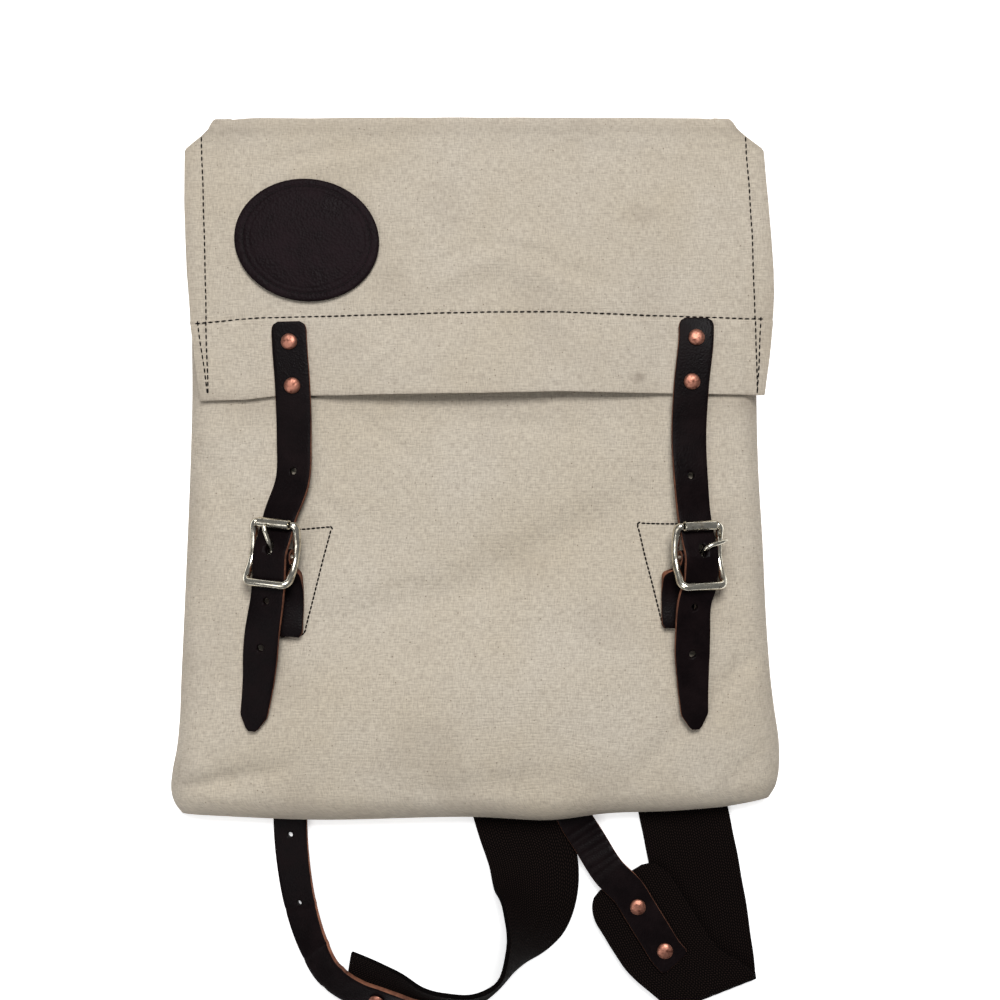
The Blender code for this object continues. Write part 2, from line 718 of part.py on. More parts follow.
def make_closure(closure, group, cutters):
    """One closure: strap, two rivets, buckle frame, roller, prong and chape."""
    side = closure.side
    place = buckle_frame_of(closure)
    frames = strap_stations(closure, place)
    widths = []
    for i, frame in enumerate(frames):
        from_top = (frame.centre - frames[0].centre).length
        from_tip = (frame.centre - frames[-1].centre).length
        top = min(1.0, 0.62 + 0.38 * rounded(from_top, 5.0))
        widths.append(min(STRAP_WIDTH * top, float(np.interp(from_tip, TIP_AT, TIP_WIDTHS))))
    strap = ribbon(f"closure_strap_{side}", "leather", frames, STRAP_WIDTH, STRAP_THICK, group, 2, widths)
    rivets = [nearest(frames, y) for y in closure.rivets]
    holes = [nearest(frames, y) for y in closure.holes]
    slot = (place @ Matrix.Translation((*closure.slot, WEAVE[3].z)), (*SLOT, 9.0))
    drill(strap, rivets + holes, cutters, ovals=[slot])
    for name, frame in zip(("upper", "lower"), rivets):
        rivet(f"closure_rivet_{side}_{name}", frame, STRAP_THICK, group)
    make_buckle(closure, place, group)
    make_chape(closure, place, group, cutters)


def make_buckle(closure, place, group):
    """A roller buckle: arched frame with its centre bar, roller round the top bar, and prong."""
    side = closure.side
    corners = (FRAME_TOP_CORNER, FRAME_FOOT_CORNER)
    points = frame_outline(FRAME_HALF_WIDTH, FRAME_HALF_LENGTH, *corners, FRAME_ARCH)
    thin = TOP_BAR_ROD / FRAME_ROD
    neck = FRAME_HALF_WIDTH - FRAME_TOP_CORNER - GAP
    bar = [(x, FRAME_HALF_LENGTH, FRAME_ARCH) for x in (neck, -neck)]
    shares = [1.0] * 4 + [thin] * 2 + [1.0] * (len(points) - 4)
    points[4:4] = bar
    world = [place @ Vector(point) for point in points]
    frame = rod(f"buckle_frame_{side}", "nickel", world, FRAME_ROD, group, cyclic=True, thin=shares)
    ends = [place @ Vector((x, 0, 0)) for x in (-FRAME_HALF_WIDTH, FRAME_HALF_WIDTH)]
    unite(frame, rod("centre_bar", "nickel", ends, CENTRE_BAR_ROD, group))
    shift = -0.5 if side == "left" else 0.5
    roll_place = place @ Matrix.Translation((shift, FRAME_HALF_LENGTH, FRAME_ARCH))
    roll_place @= Matrix.Rotation(math.pi / 2, 4, "Y")
    bm = bmesh.new()
    bmesh.ops.create_cone(
        bm, segments=12, radius1=ROLLER_OUTER, radius2=ROLLER_OUTER, depth=ROLLER_LENGTH, matrix=roll_place
    )
    roller = mesh_object(f"buckle_roller_{side}", "nickel", bm, group)
    wall = roller.modifiers.new("Wall", "SOLIDIFY")
    wall.thickness = (ROLLER_OUTER - TOP_BAR_ROD - GAP) * MM
    wall.offset = -1.0
    eye = CENTRE_BAR_ROD + GAP + PRONG_ROD
    turns = [math.radians(360 - 30 * k) for k in range(10)]
    loop = [(0, eye * math.cos(turn), eye * math.sin(turn)) for turn in turns]
    tongue = [place @ Vector(point) for point in loop + list(closure.prong)]
    rod(f"buckle_prong_{side}", "nickel", tongue, PRONG_ROD, group, sides=1)


def make_chape(closure, place, group, cutters):
    """Leather doubled round the centre bar, its two layers flat on the bag lower down."""
    slack = FRAME_HALF_WIDTH - FRAME_ROD - GAP - CHAPE_WIDTH / 2
    start = math.copysign(slack, closure.chape_x - closure.buckle_x)
    aside = closure.chape_x - closure.buckle_x - start
    rows = []
    for layer in CHAPE_LAYERS:
        point = place @ Vector((start + aside * layer.aside, layer.y, layer.middle))
        rows.append((*point, closure.roll * layer.turn))
    closed = CHAPE_THICK / 2 + 0.2
    inner = closure.chape_x - math.copysign(CHAPE_WIDTH / 2, closure.chape_x)
    flat_y = closure.buckle_y - CHAPE_FLAT
    for y, lift, turn in ((flat_y, CHAPE_FLAT_LIFT, 0.15), (closure.chape_end, 0.0, 0.0)):
        rest = front_height(inner, y) + 2 * GAP + closed + CHAPE_THICK / 2
        rows.append((closure.chape_x, y, rest + lift, closure.roll * turn))
    knots = knots_through(rows)
    distances = [layer.rise for layer in CHAPE_LAYERS] + [closed, closed]
    rises = [Rise(knot.s, rise) for knot, rise in zip(knots, distances)]
    frames = stations(smooth_rows(rows, 4.4))
    run = np.linspace(0, knots[-1].s, len(frames))
    upper, lower = [], []
    for s, frame in zip(run, frames):
        rise = straight(rises, "rise", s)
        half = CHAPE_WIDTH / 2 * (0.8 + 0.2 * rounded(run[-1] - s, 4.0))
        upper.append([frame.centre + frame.normal * rise + frame.across * half * k for k in (1, 0, -1)])
        lower.append([frame.centre - frame.normal * rise + frame.across * half * k for k in (1, 0, -1)])
    wrap = CHAPE_LAYERS[0].rise
    bend = []
    for turn in (60, 30, 0, -30, -60):
        swing = math.radians(turn)
        ends = [start - CHAPE_WIDTH / 2 * k for k in (1, 0, -1)]
        bend.append([place @ Vector((x, wrap * math.cos(swing), wrap * math.sin(swing))) for x in ends])
    name = f"buckle_chape_{closure.side}"
    chape = grid_sheet(name, "leather", upper[::-1] + bend + lower, CHAPE_THICK, group)
    drill(chape, [], cutters, slots=[(place @ Matrix.Translation((0, 0.5, 0)), (4.4, 13.0, 13.0))])


def web_rows(lines, spacing):
    """Rows of x, y, z, roll along a webbing that lies on the surface, and on the yoke patch at its top."""
    rows = []
    for line in lines:
        rows.append((line.x, line.y, lying(line, WEB_WIDTH, WEB_THICK), line.roll))
    raised = []
    for x, y, z, roll in smooth_rows(rows, spacing):
        raised.append((x, y, z + YOKE_RISE * fade(y, YOKE_RISE_FROM, YOKE_RISE_TO), roll))
    return raised


def folded(point, edge):
    """Takes a point of the flat right webbing round the fold at its lower end. edge is -1 to 1 across it."""
    turn = math.radians(FOLD_TURN)
    out = Vector((math.cos(turn), math.sin(turn), 0))
    past = (point - Vector((FOLD_X, FOLD_Y, 0))).dot(out)
    drawn = out * FOLD_CORNER * math.exp(-((past / 7) ** 2)) * fade(edge, 0.35, 1.0)
    if past <= 0:
        return point - drawn
    base = point - out * past
    swing = past / FOLD_RADIUS
    if swing < math.pi:
        bulge = Vector((0, 0, FOLD_RADIUS * (1 - math.cos(swing))))
        return base + out * FOLD_RADIUS * math.sin(swing) + bulge - drawn
    back = past - math.pi * FOLD_RADIUS
    settle = 1.6 * fade(back, 0, 40)
    flat = base - out * back + Vector((0, 0, 2 * FOLD_RADIUS - settle))
    skew = fade(back, 0, FOLD_EASE)
    pivot = Vector((FOLD_X, FOLD_Y, 0))
    twisted = Matrix.Rotation(math.radians(FOLD_TWIST) * skew, 3, "Z") @ (flat - pivot) + pivot
    return twisted + Vector((out.y, -out.x, 0)) * FOLD_SLIDE * skew - drawn


def folded_rows(columns):
    """The right webbing as rows of points across it, folded back over itself at its lower end."""
    points = web_rows(WEB_RIGHT, 4.0)
    thinned = [point for i, point in enumerate(points) if abs(point[1] - FOLD_Y + 3) < 16 or i % 4 == 0]
    length = knots_through(points)[-1].s
    rows = []
    for frame in stations(thinned):
        from_end = length - (frame.centre - Vector(points[0][:3])).length
        share = WEB_END_SHARE + (1 - WEB_END_SHARE) * rounded(from_end, WEB_END_ROUND)
        edges = [2 * k / columns - 1 for k in range(columns + 1)]
        half = frame.across * WEB_WIDTH / 2 * share
        rows.append([folded(frame.centre + half * edge, edge) for edge in edges])
    return rows


def row_stations(rows):
    """Stations from rows of points, for the leather that lies on a folded webbing."""
    made = []
    middle = len(rows[0]) // 2
    for i, row in enumerate(rows):
        way = rows[min(i + 1, len(rows) - 1)][middle] - rows[max(i - 1, 0)][middle]
        across = (row[-1] - row[0]).normalized()
        made.append(Station(row[middle], across, across.cross(way).normalized()))
    return made


def billet_on(web, lines):
    """A billet: its free rows, then along the end of the webbing on its upper side."""
    lift = (WEB_THICK + STRAP_THICK) / 2 + GAP
    rows = [(line.x, line.y, lying(line, STRAP_WIDTH, STRAP_THICK), line.roll) for line in lines]
    left = BILLET_OVERLAP
    for near, far in zip(reversed(web), reversed(web[:-1])):
        step = (far.centre - near.centre).length
        share = min(1.0, left / step)
        left -= step
        normal = near.normal.lerp(far.normal, share).normalized()
        up = normal if normal.z > 0 else -normal
        centre = near.centre.lerp(far.centre, share) + up * lift
        way = (centre - Vector(rows[-1][:3])).normalized()
        across = way.cross(up).normalized()
        level = way.cross(Vector((0, 0, 1))).normalized()
        rows.append((*centre, math.degrees(math.atan2(across.z, across.dot(level)))))
        if left <= 0:
            break
    return stations(smooth_rows(rows, 5.8))


def at_distance(frames, distance):
    """The station nearest to a distance back from the strap's last one."""
    return min(frames, key=lambda frame: abs((frame.centre - frames[-1].centre).length - distance))


def make_shoulder_straps(group, cutters):
    """Webbing from the yoke, and a riveted leather billet that goes back under the bag, on each side."""
    points = web_rows(WEB_LEFT, 9.0)
    left = stations([row for i, row in enumerate(points) if not -190 < row[1] < 90 or i % 3 == 0])
    ribbon("shoulder_web_left", "webbing", left, WEB_WIDTH, WEB_THICK, group, 2)
    rows = folded_rows(4)
    grid_sheet("shoulder_web_right", "webbing", rows, WEB_THICK, group)
    billets = {"left": billet_on(left, BILLET_LEFT), "right": billet_on(row_stations(rows), BILLET_RIGHT)}
    for side, frames in billets.items():
        widths = []
        for frame in frames:
            from_end = (frame.centre - frames[-1].centre).length
            widths.append(STRAP_WIDTH * (0.7 + 0.3 * rounded(from_end, 4.0)))
        name = f"shoulder_billet_{side}"
        billet = ribbon(name, "leather", frames, STRAP_WIDTH, STRAP_THICK, group, 2, widths)
        riveted = [at_distance(frames, distance) for distance in BILLET_RIVETS]
        punched = [nearest(frames, y) for y in BILLET_HOLES[side]]
        drill(billet, riveted + punched, cutters)
        for number, frame in enumerate(riveted, 1):
            rivet(f"billet_rivet_{side}_{number}", frame, STRAP_THICK, group)


def make_yoke(group, cutters):
    """The leather patch that holds both webbings to the bag's back, with its four rivets."""
    x, y, length, width = YOKE_PATCH
    z = RIVET_RISE + GAP + PATCH_THICK / 2
    bm = bmesh.new()
    block = Matrix.Translation((x, y, z)) @ Matrix.Diagonal((length, width, PATCH_THICK, 1))
    bmesh.ops.create_cube(bm, size=1.0, matrix=block)
    patch = mesh_object("yoke_patch", "leather", bm, group)
    frames = [Station(Vector((rx, ry, z)), Vector((1, 0, 0)), Vector((0, 0, 1))) for rx, ry in YOKE_RIVETS]
    drill(patch, frames, cutters, depth=PATCH_THICK + 2)
    for number, frame in enumerate(frames, 1):
        rivet(f"yoke_rivet_{number}", frame, PATCH_THICK, group, below=True)


def make_lower(lower, group, cutters):
    """The hidden buckle of one billet, plain, with the leather tab that holds it to the bag's back."""
    heading = math.radians(lower.heading)
    up = LOWER_BAR_UP + 0.1
    place = Matrix.Translation((lower.x, lower.y, up)) @ Matrix.Rotation(heading - math.pi / 2, 4, "Z")
    points = frame_outline(LOWER_HALF_WIDTH, LOWER_HALF_LENGTH, 3.0, 3.0, LOWER_ROD - LOWER_BAR_UP)
    world = [place @ Vector(point) for point in points]
    frame = rod(f"lower_buckle_{lower.side}", "nickel", world, LOWER_ROD, group, cyclic=True, sides=1)
    ends = [place @ Vector((x, 0, 0)) for x in (-LOWER_HALF_WIDTH, LOWER_HALF_WIDTH)]
    unite(frame, rod("lower_bar", "nickel", ends, LOWER_ROD, group, sides=1))
    wrap = LOWER_ROD + GAP + TAB_THICK / 2
    closed = TAB_THICK / 2 + 0.15
    bar = place.translation
    way = place.to_3x3() @ Vector((0, 1, 0))
    end = Vector((lower.anchor_x, lower.anchor_y, bar.z))
    bend = bar + way * (end - bar).length * 0.5
    half = STRAP_WIDTH / 2
    upper, under = [], []
    for k in range(7):
        share = k / 6
        centre = bar.lerp(bend, share).lerp(bend.lerp(end, share), share)
        forward = (bend - bar).lerp(end - bend, share).normalized()
        across = Vector((forward.y, -forward.x, 0))
        gap = wrap + (closed - wrap) * fade((centre - bar).length, 0.5, 8.0)
        upper.append([centre + Vector((0, 0, wrap)) + across * half * s for s in (-1, 0, 1)])
        under.append([centre + Vector((0, 0, wrap - 2 * gap)) + across * half * s for s in (-1, 0, 1)])
    rows = upper[::-1]
    for turn in (60, 30, 0, -30, -60):
        swing = math.radians(turn)
        point = bar - way * wrap * math.cos(swing) + Vector((0, 0, wrap * math.sin(swing)))
        rows.append([point + place.to_3x3() @ Vector((half * s, 0, 0)) for s in (-1, 0, 1)])
    tab = grid_sheet(f"lower_tab_{lower.side}", "leather", rows + under, TAB_THICK, group)
    centre = under[-1][1].lerp(under[-2][1], 0.9)
    holder = Station(centre, Vector((1, 0, 0)), Vector((0, 0, 1)))
    drill(tab, [holder], cutters, depth=TAB_THICK + 0.4)
    rivet(f"lower_rivet_{lower.side}", holder, TAB_THICK, group, below=True)


def stand_on_origin():
    """Moves everything together, so that the origin is on the surface under the middle of the whole."""
    depsgraph = bpy.context.evaluated_depsgraph_get()
    corners = []
    for obj in bpy.data.objects:
        if obj.type == "MESH" and not obj.hide_render:
            evaluated = obj.evaluated_get(depsgraph)
            corners += [obj.matrix_world @ Vector(corner) for corner in evaluated.bound_box]
    low = Vector([min(corner[i] for corner in corners) for i in range(3)])
    high = Vector([max(corner[i] for corner in corners) for i in range(3)])
    shift = Vector((-(low.x + high.x) / 2, -(low.y + high.y) / 2, 0))
    for obj in bpy.data.objects:
        obj.location = shift


def main():
    clear_scene()
    group = collection("canvas_rucksack")
    cutters = collection("cutters")
    make_bag(group)
    make_flap(group)
    make_patch(group)
    for closure in CLOSURES:
        make_closure(closure, group, cutters)
    make_shoulder_straps(group, cutters)
    make_yoke(group, cutters)
    for lower in LOWERS:
        make_lower(lower, group, cutters)
    stand_on_origin()


main()
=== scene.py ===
"""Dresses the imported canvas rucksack: natural canvas, dark leather, webbing, copper and nickel.

Sizes in the tables are millimetres on the bag's own plan: X across it, Y to its top, Z up from the surface
that it lies on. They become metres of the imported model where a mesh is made.
"""

import logging
import math
from dataclasses import dataclass, field
from enum import Enum

import bmesh
import bpy
import numpy as np
from mathutils import Matrix, Vector, noise


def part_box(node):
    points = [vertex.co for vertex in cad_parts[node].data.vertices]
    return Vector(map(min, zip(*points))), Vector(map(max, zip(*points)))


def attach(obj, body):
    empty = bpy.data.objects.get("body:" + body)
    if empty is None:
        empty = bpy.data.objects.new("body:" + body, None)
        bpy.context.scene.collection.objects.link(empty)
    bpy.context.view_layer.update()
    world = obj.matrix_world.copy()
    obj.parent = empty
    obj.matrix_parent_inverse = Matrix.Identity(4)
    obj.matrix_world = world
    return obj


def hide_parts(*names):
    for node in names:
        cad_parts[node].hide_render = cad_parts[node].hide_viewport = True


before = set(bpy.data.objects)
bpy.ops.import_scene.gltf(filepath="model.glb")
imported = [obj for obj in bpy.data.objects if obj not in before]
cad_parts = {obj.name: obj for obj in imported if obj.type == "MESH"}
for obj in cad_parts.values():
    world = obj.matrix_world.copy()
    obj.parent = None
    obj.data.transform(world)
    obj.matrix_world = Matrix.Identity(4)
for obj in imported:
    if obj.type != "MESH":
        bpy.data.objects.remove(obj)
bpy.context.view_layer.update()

log = logging.getLogger("rucksack")

MM = 0.001
SHIFT = (0.35, 61.122)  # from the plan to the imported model's origin
GAP = 0.3
CANVAS, HEM = 1.2, 2.4
THREAD_LIFT = 0.12  # of the thread's middle over the cloth
WEB_WIDTH, WEB_THICK = 50.0, 2.4
STRAP_WIDTH, STRAP_THICK = 19.0, 2.6
WAVE_PERIOD = 0.31416  # of Blender's wave bands at scale 1

Array, Piece, Material = np.ndarray, bpy.types.Object, bpy.types.Material
Tree, Node, Socket = bpy.types.NodeTree, bpy.types.Node, bpy.types.NodeSocket
Spots = list[tuple[Array, Array]]  # the point under each rivet's head, and its facing


class Side(Enum):
    """The side of the bag, as its front is seen."""

    LEFT = "left"
    RIGHT = "right"


# Plain numbers: fades, splines and noise over arrays


def fade(value: Array | float, start: float, end: float) -> Array:
    """A smooth step.

    Args:
        value: where along the step.
        start: where it is 0.
        end: where it is 1.

    Returns:
        The step's height there, 0 to 1.
    """
    t = np.clip((np.asarray(value, float) - start) / (end - start), 0.0, 1.0)
    return t * t * (3 - 2 * t)


def rounded(distance: Array | float, radius: float) -> Array:
    """Height, 0 to 1, of a rounded edge at a distance in from it."""
    t = np.clip(np.asarray(distance, float) / radius, 0.0, 1.0)
    return np.sqrt(1 - (1 - t) ** 2)


def bell(value: Array, width: float) -> Array:
    """A smooth bump of a half width, 1 at 0."""
    return np.exp(-((value / width) ** 2))


def smooth(knots: Array, values: Array, at: Array | float) -> Array:
    """A smooth line through knots.

    Args:
        knots: places along the line, rising.
        values: the line's height at each.
        at: places to read.

    Returns:
        The heights there.
    """
    slopes = np.gradient(values, knots)
    at = np.clip(at, knots[0], knots[-1])
    i = np.clip(np.searchsorted(knots, at) - 1, 0, len(knots) - 2)
    span = knots[i + 1] - knots[i]
    t = (at - knots[i]) / span
    start = (1 + 2 * t) * (1 - t) ** 2 * values[i] + t * (1 - t) ** 2 * span * slopes[i]
    end = t * t * (3 - 2 * t) * values[i + 1] + t * t * (t - 1) * span * slopes[i + 1]
    return start + end


def distances(points: Array) -> Array:
    """Distance of each point of a line from the first."""
    steps = np.linalg.norm(np.diff(points, axis=0), axis=1)
    return np.concatenate([[0], np.cumsum(steps)])


def ripple(x: Array, y: Array, size: float, seed: float) -> Array:
    """Smooth noise from about -1 to 1, with waves of a size in millimetres."""
    x, y = np.broadcast_arrays(x, y)
    flat = [noise.noise(Vector((a / size, b / size, seed))) for a, b in zip(x.ravel(), y.ravel())]
    return np.array(flat).reshape(x.shape)


@dataclass(frozen=True)
class Crease:
    """A fold line of the cloth between two points of the plan, with a soft lip on its left side."""

    x0: float
    y0: float
    x1: float
    y1: float
    width: float
    depth: float
    lip: float = 0.5

    def height(self, x: Array, y: Array) -> Array:
        """How far the cloth is lowered (below 0) or raised at places of the plan."""
        dx, dy = self.x1 - self.x0, self.y1 - self.y0
        length = math.hypot(dx, dy)
        along = ((x - self.x0) * dx + (y - self.y0) * dy) / length / length
        aside = ((y - self.y0) * dx - (x - self.x0) * dy) / length
        reach = fade(along, -0.15, 0.3) * fade(along, 1.15, 0.7)
        lip = self.lip * bell(aside - 1.8 * self.width, 1.3 * self.width)
        return self.depth * reach * (lip - bell(aside, self.width))


@dataclass(frozen=True)
class Dent:
    """A soft dent of the plan, or a ridge where its depth is below 0."""

    x: float
    y: float
    length: float
    width: float
    angle: float
    depth: float

    def height(self, x: Array, y: Array) -> Array:
        """How far it raises the cloth at places of the plan."""
        turn = math.radians(self.angle)
        along = (x - self.x) * math.cos(turn) + (y - self.y) * math.sin(turn)
        aside = (y - self.y) * math.cos(turn) - (x - self.x) * math.sin(turn)
        return -self.depth * np.exp(-((along / self.length) ** 2) - (aside / self.width) ** 2)


def total(shapes: list, x: Array, y: Array) -> Array:
    """Sum of the heights of creases and dents at places of the plan."""
    return sum(shape.height(x, y) for shape in shapes)


# Meshes


def to_model(points: Array) -> Array:
    """Points of the plan, in millimetres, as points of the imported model, in metres."""
    return (np.asarray(points, float) + (*SHIFT, 0.0)) * MM


def on_plan(points: Array) -> Array:
    """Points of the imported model, in metres, as points of the plan, in millimetres."""
    return np.asarray(points, float) / MM - (*SHIFT, 0.0)


def placed(name: str, data: bpy.types.ID) -> Piece:
    """A new object of the scene with its data."""
    made = bpy.data.objects.new(name, data)
    bpy.context.scene.collection.objects.link(made)
    return made


def mesh_piece(name: str, points: Array, faces: list, uv: Array | None = None) -> Piece:
    """A mesh object from points of the plan.

    Args:
        name: the piece's name.
        points: its vertices, in millimetres.
        faces: the vertices of each face.
        uv: the map place of each face corner, in metres, if the piece has a map.

    Returns:
        The new object, smooth shaded.
    """
    mesh = bpy.data.meshes.new(name)
    mesh.from_pydata(to_model(points).tolist(), [], [list(map(int, face)) for face in faces])
    if uv is not None:
        layer = mesh.uv_layers.new(name="Cloth")
        layer.data.foreach_set("uv", np.asarray(uv, np.float32).ravel())
    mesh.shade_smooth()
    return placed(name, mesh)


def grid_piece(name: str, grid: Array, ring: bool = False) -> Piece:
    """A sheet through a grid of points, mapped by the distance along its rows and columns.

    Args:
        name: the piece's name.
        grid: rows by columns by 3, in millimetres.
        ring: whether each row is closed round.

    Returns:
        The new object.
    """
    rows, columns = grid.shape[:2]
    index = np.arange(rows * columns).reshape(rows, columns)
    if ring:
        index = np.concatenate([index, index[:, :1]], axis=1)
    places = np.concatenate([grid, grid[:, :1]], axis=1) if ring else grid
    across = np.cumsum(np.linalg.norm(np.diff(places, axis=1, prepend=places[:, :1]), axis=2), axis=1)
    across -= across[:, [across.shape[1] // 2]]
    down = np.cumsum(np.linalg.norm(np.diff(places, axis=0, prepend=places[:1]), axis=2), axis=0)
    uv = np.stack([across, np.broadcast_to(down.mean(axis=1, keepdims=True), across.shape)], axis=-1)

    def corners(values: Array) -> Array:
        """The four corners of each face of the grid."""
        return np.stack([values[:-1, :-1], values[1:, :-1], values[1:, 1:], values[:-1, 1:]], axis=2)

    faces = corners(index).reshape(-1, 4)
    return mesh_piece(name, grid.reshape(-1, 3), faces.tolist(), corners(uv).reshape(-1, 2) * MM)


def bake(piece: Piece) -> Piece:
    """Applies a piece's modifiers by making its evaluated mesh its own."""
    evaluated = piece.evaluated_get(bpy.context.evaluated_depsgraph_get())
    mesh = bpy.data.meshes.new_from_object(evaluated)
    piece.modifiers.clear()
    piece.data = mesh
    return piece


def thicken(
    piece: Piece, thickness: float, offset: float, bevel: float, group: str = "", least: float = 1.0
) -> None:
    """Gives a sheet its wall and soft edges.

    Args:
        piece: the sheet.
        thickness: of the wall, in millimetres.
        offset: -1 grows the wall inwards, 1 outwards, 0 both ways.
        bevel: width of its edges' rounding, in millimetres.
        group: vertex group that has the full thickness.
        least: share of the thickness outside the group.
    """
    wall = piece.modifiers.new("Wall", "SOLIDIFY")
    wall.thickness = thickness * MM
    wall.offset = offset
    wall.material_offset_rim = 1
    if group:
        wall.vertex_group = group
        wall.thickness_vertex_group = least
    if bevel:
        edge = piece.modifiers.new("Edge", "BEVEL")
        edge.width = bevel * MM
        edge.segments = 2
        edge.limit_method = "ANGLE"
        edge.angle_limit = math.radians(55)
    bake(piece)


def weight(piece: Piece, name: str, values: Array) -> None:
    """Adds a vertex group with a weight for each vertex."""
    group = piece.vertex_groups.new(name=name)
    for i, value in enumerate(values.ravel()):
        group.add([i], float(value), "REPLACE")


def attribute(piece: Piece, name: str, values: Array) -> None:
    """Adds a number for each vertex, for a material to read."""
    layer = piece.data.attributes.new(name, "FLOAT", "POINT")
    layer.data.foreach_set("value", np.asarray(values, np.float32).ravel())


def dress(piece: Piece, *materials: Material) -> None:
    """Gives a piece its materials, the second one for the rim of its wall."""
    piece.data.materials.clear()
    for material in materials:
        piece.data.materials.append(material)


def cut(piece: Piece, places: list[Matrix], size: float | tuple[float, float], depth: float = 9.0) -> None:
    """Cuts holes through a piece.

    Args:
        piece: the piece.
        places: the plan's placing matrix of each hole, its Z along the hole.
        size: radius of a round hole, or width and length of a long one, in millimetres.
        depth: how far the cut goes, in millimetres.
    """
    bm = bmesh.new()
    for place in places:
        if isinstance(size, tuple):
            bmesh.ops.create_cube(bm, size=1.0, matrix=place @ Matrix.Diagonal((*size, depth, 1)))
        else:
            round_hole = {"segments": 20, "radius1": size, "radius2": size, "depth": depth}
            bmesh.ops.create_cone(bm, cap_ends=True, matrix=place, **round_hole)
    mesh = bpy.data.meshes.new("punch")
    bm.to_mesh(mesh)
    bm.free()
    mesh.transform(Matrix.Diagonal((MM, MM, MM, 1)) @ Matrix.Translation((*SHIFT, 0)))
    punch = placed("punch", mesh)
    hole = piece.modifiers.new("Hole", "BOOLEAN")
    hole.operation = "DIFFERENCE"
    hole.use_self = True
    hole.object = punch
    bake(piece)
    bpy.data.objects.remove(punch)


def skin_faces(count: int, sides: int, closed: bool) -> list[tuple[int, ...]]:
    """Faces round a row of rings.

    Args:
        count: how many rings there are.
        sides: points of each ring.
        closed: whether the last ring joins the first. Otherwise both ends are capped.

    Returns:
        The points of each face.
    """
    faces = []
    for i in range(count if closed else count - 1):
        n = (i + 1) % count
        for k in range(sides):
            m = (k + 1) % sides
            faces.append((i * sides + k, i * sides + m, n * sides + m, n * sides + k))
    if not closed:
        faces.append(tuple(range(sides))[::-1])
        faces.append(tuple((count - 1) * sides + k for k in range(sides)))
    return faces


def tube(points: Array, radii: Array | float, sides: int, closed: bool = False) -> tuple[Array, list]:
    """The skin of a wire along points.

    Args:
        points: the wire's middle line, in millimetres.
        radii: its radius, the same all along or one for each point.
        sides: facets round it.
        closed: whether it is a ring. An open wire gets domed ends.

    Returns:
        Its points and faces.
    """
    points = np.asarray(points, float)
    radii = np.broadcast_to(radii, len(points)).astype(float)
    if not closed:
        way0, way1 = points[0] - points[1], points[-1] - points[-2]
        way0, way1 = way0 / np.linalg.norm(way0), way1 / np.linalg.norm(way1)
        domes = [(0.95, 0.3), (0.75, 0.66), (0.4, 0.92)]
        head = [(points[0] + way0 * radii[0] * rise, radii[0] * share) for share, rise in reversed(domes)]
        tail = [(points[-1] + way1 * radii[-1] * rise, radii[-1] * share) for share, rise in domes]
        points = np.array([p for p, _ in head] + list(points) + [p for p, _ in tail])
        radii = np.array([r for _, r in head] + list(radii) + [r for _, r in tail])
    ahead = np.roll(points, -1, axis=0) - points
    behind = points - np.roll(points, 1, axis=0)
    if not closed:
        ahead[-1], behind[0] = behind[-1], ahead[0]
    ways = sum(steps / np.linalg.norm(steps, axis=1, keepdims=True) for steps in (ahead, behind))
    ways /= np.linalg.norm(ways, axis=1, keepdims=True)
    side = np.cross(ways[0], (0.3, 0.2, 0.93))
    rings = []
    for point, way, radius in zip(points, ways, radii):
        side = side - way * side.dot(way)
        side /= np.linalg.norm(side)
        up = np.cross(way, side)
        turns = np.arange(sides) * math.tau / sides
        rings.append(point + radius * (np.outer(np.cos(turns), side) + np.outer(np.sin(turns), up)))
    return np.concatenate(rings), skin_faces(len(rings), sides, closed)


def solid_piece(name: str, parts: list[tuple[Array, list]]) -> Piece:
    """One object of several closed skins, with its faces pointing outwards."""
    points, faces, start = [], [], 0
    for part_points, part_faces in parts:
        points.append(part_points)
        faces += [tuple(i + start for i in face) for face in part_faces]
        start += len(part_points)
    piece = mesh_piece(name, np.concatenate(points), faces)
    bm = bmesh.new()
    bm.from_mesh(piece.data)
    bmesh.ops.recalc_face_normals(bm, faces=bm.faces)
    bm.to_mesh(piece.data)
    bm.free()
    return piece


def hand_over(piece: Piece, nodes: list[str]) -> None:
    """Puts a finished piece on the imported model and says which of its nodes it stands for."""
    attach(piece, "root")
    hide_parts(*nodes)
    log.info("%s: %d faces for %s", piece.name, len(piece.data.polygons), ", ".join(nodes) or "itself")


# Finishes


def linear(code: str) -> tuple[float, float, float, float]:
    """A colour given as sRGB hex, as linear values with alpha 1."""
    values = [int(code[i : i + 2], 16) / 255 for i in (1, 3, 5)]
    red, green, blue = (v / 12.92 if v <= 0.04045 else ((v + 0.055) / 1.055) ** 2.4 for v in values)
    return red, green, blue, 1.0


def add(tree: Tree, kind: str, inputs: dict | None = None, **settings: object) -> Node:
    """Adds a node with its settings.

    Args:
        tree: the material's or geometry's nodes.
        kind: the node's type.
        inputs: for each input, by name or number, a value, or the output socket that it is linked to.
        settings: the node's own properties.

    Returns:
        The node.
    """
    made = tree.nodes.new(kind)
    for key, value in settings.items():
        setattr(made, key, value)
    for key, value in (inputs or {}).items():
        if isinstance(value, Socket):
            tree.links.new(value, made.inputs[key])
        else:
            made.inputs[key].default_value = value
    return made


def blend(tree: Tree, share: object, low: object, high: object) -> Socket:
    """The colour between two, by a share that is a number or a socket."""
    return add(tree, "ShaderNodeMix", {0: share, 6: low, 7: high}, data_type="RGBA").outputs[2]


def maths(tree: Tree, how: str, first: object, second: object = 0.0) -> Socket:
    """The result of a sum on numbers or sockets."""
    return add(tree, "ShaderNodeMath", {0: first, 1: second}, operation=how).outputs[0]


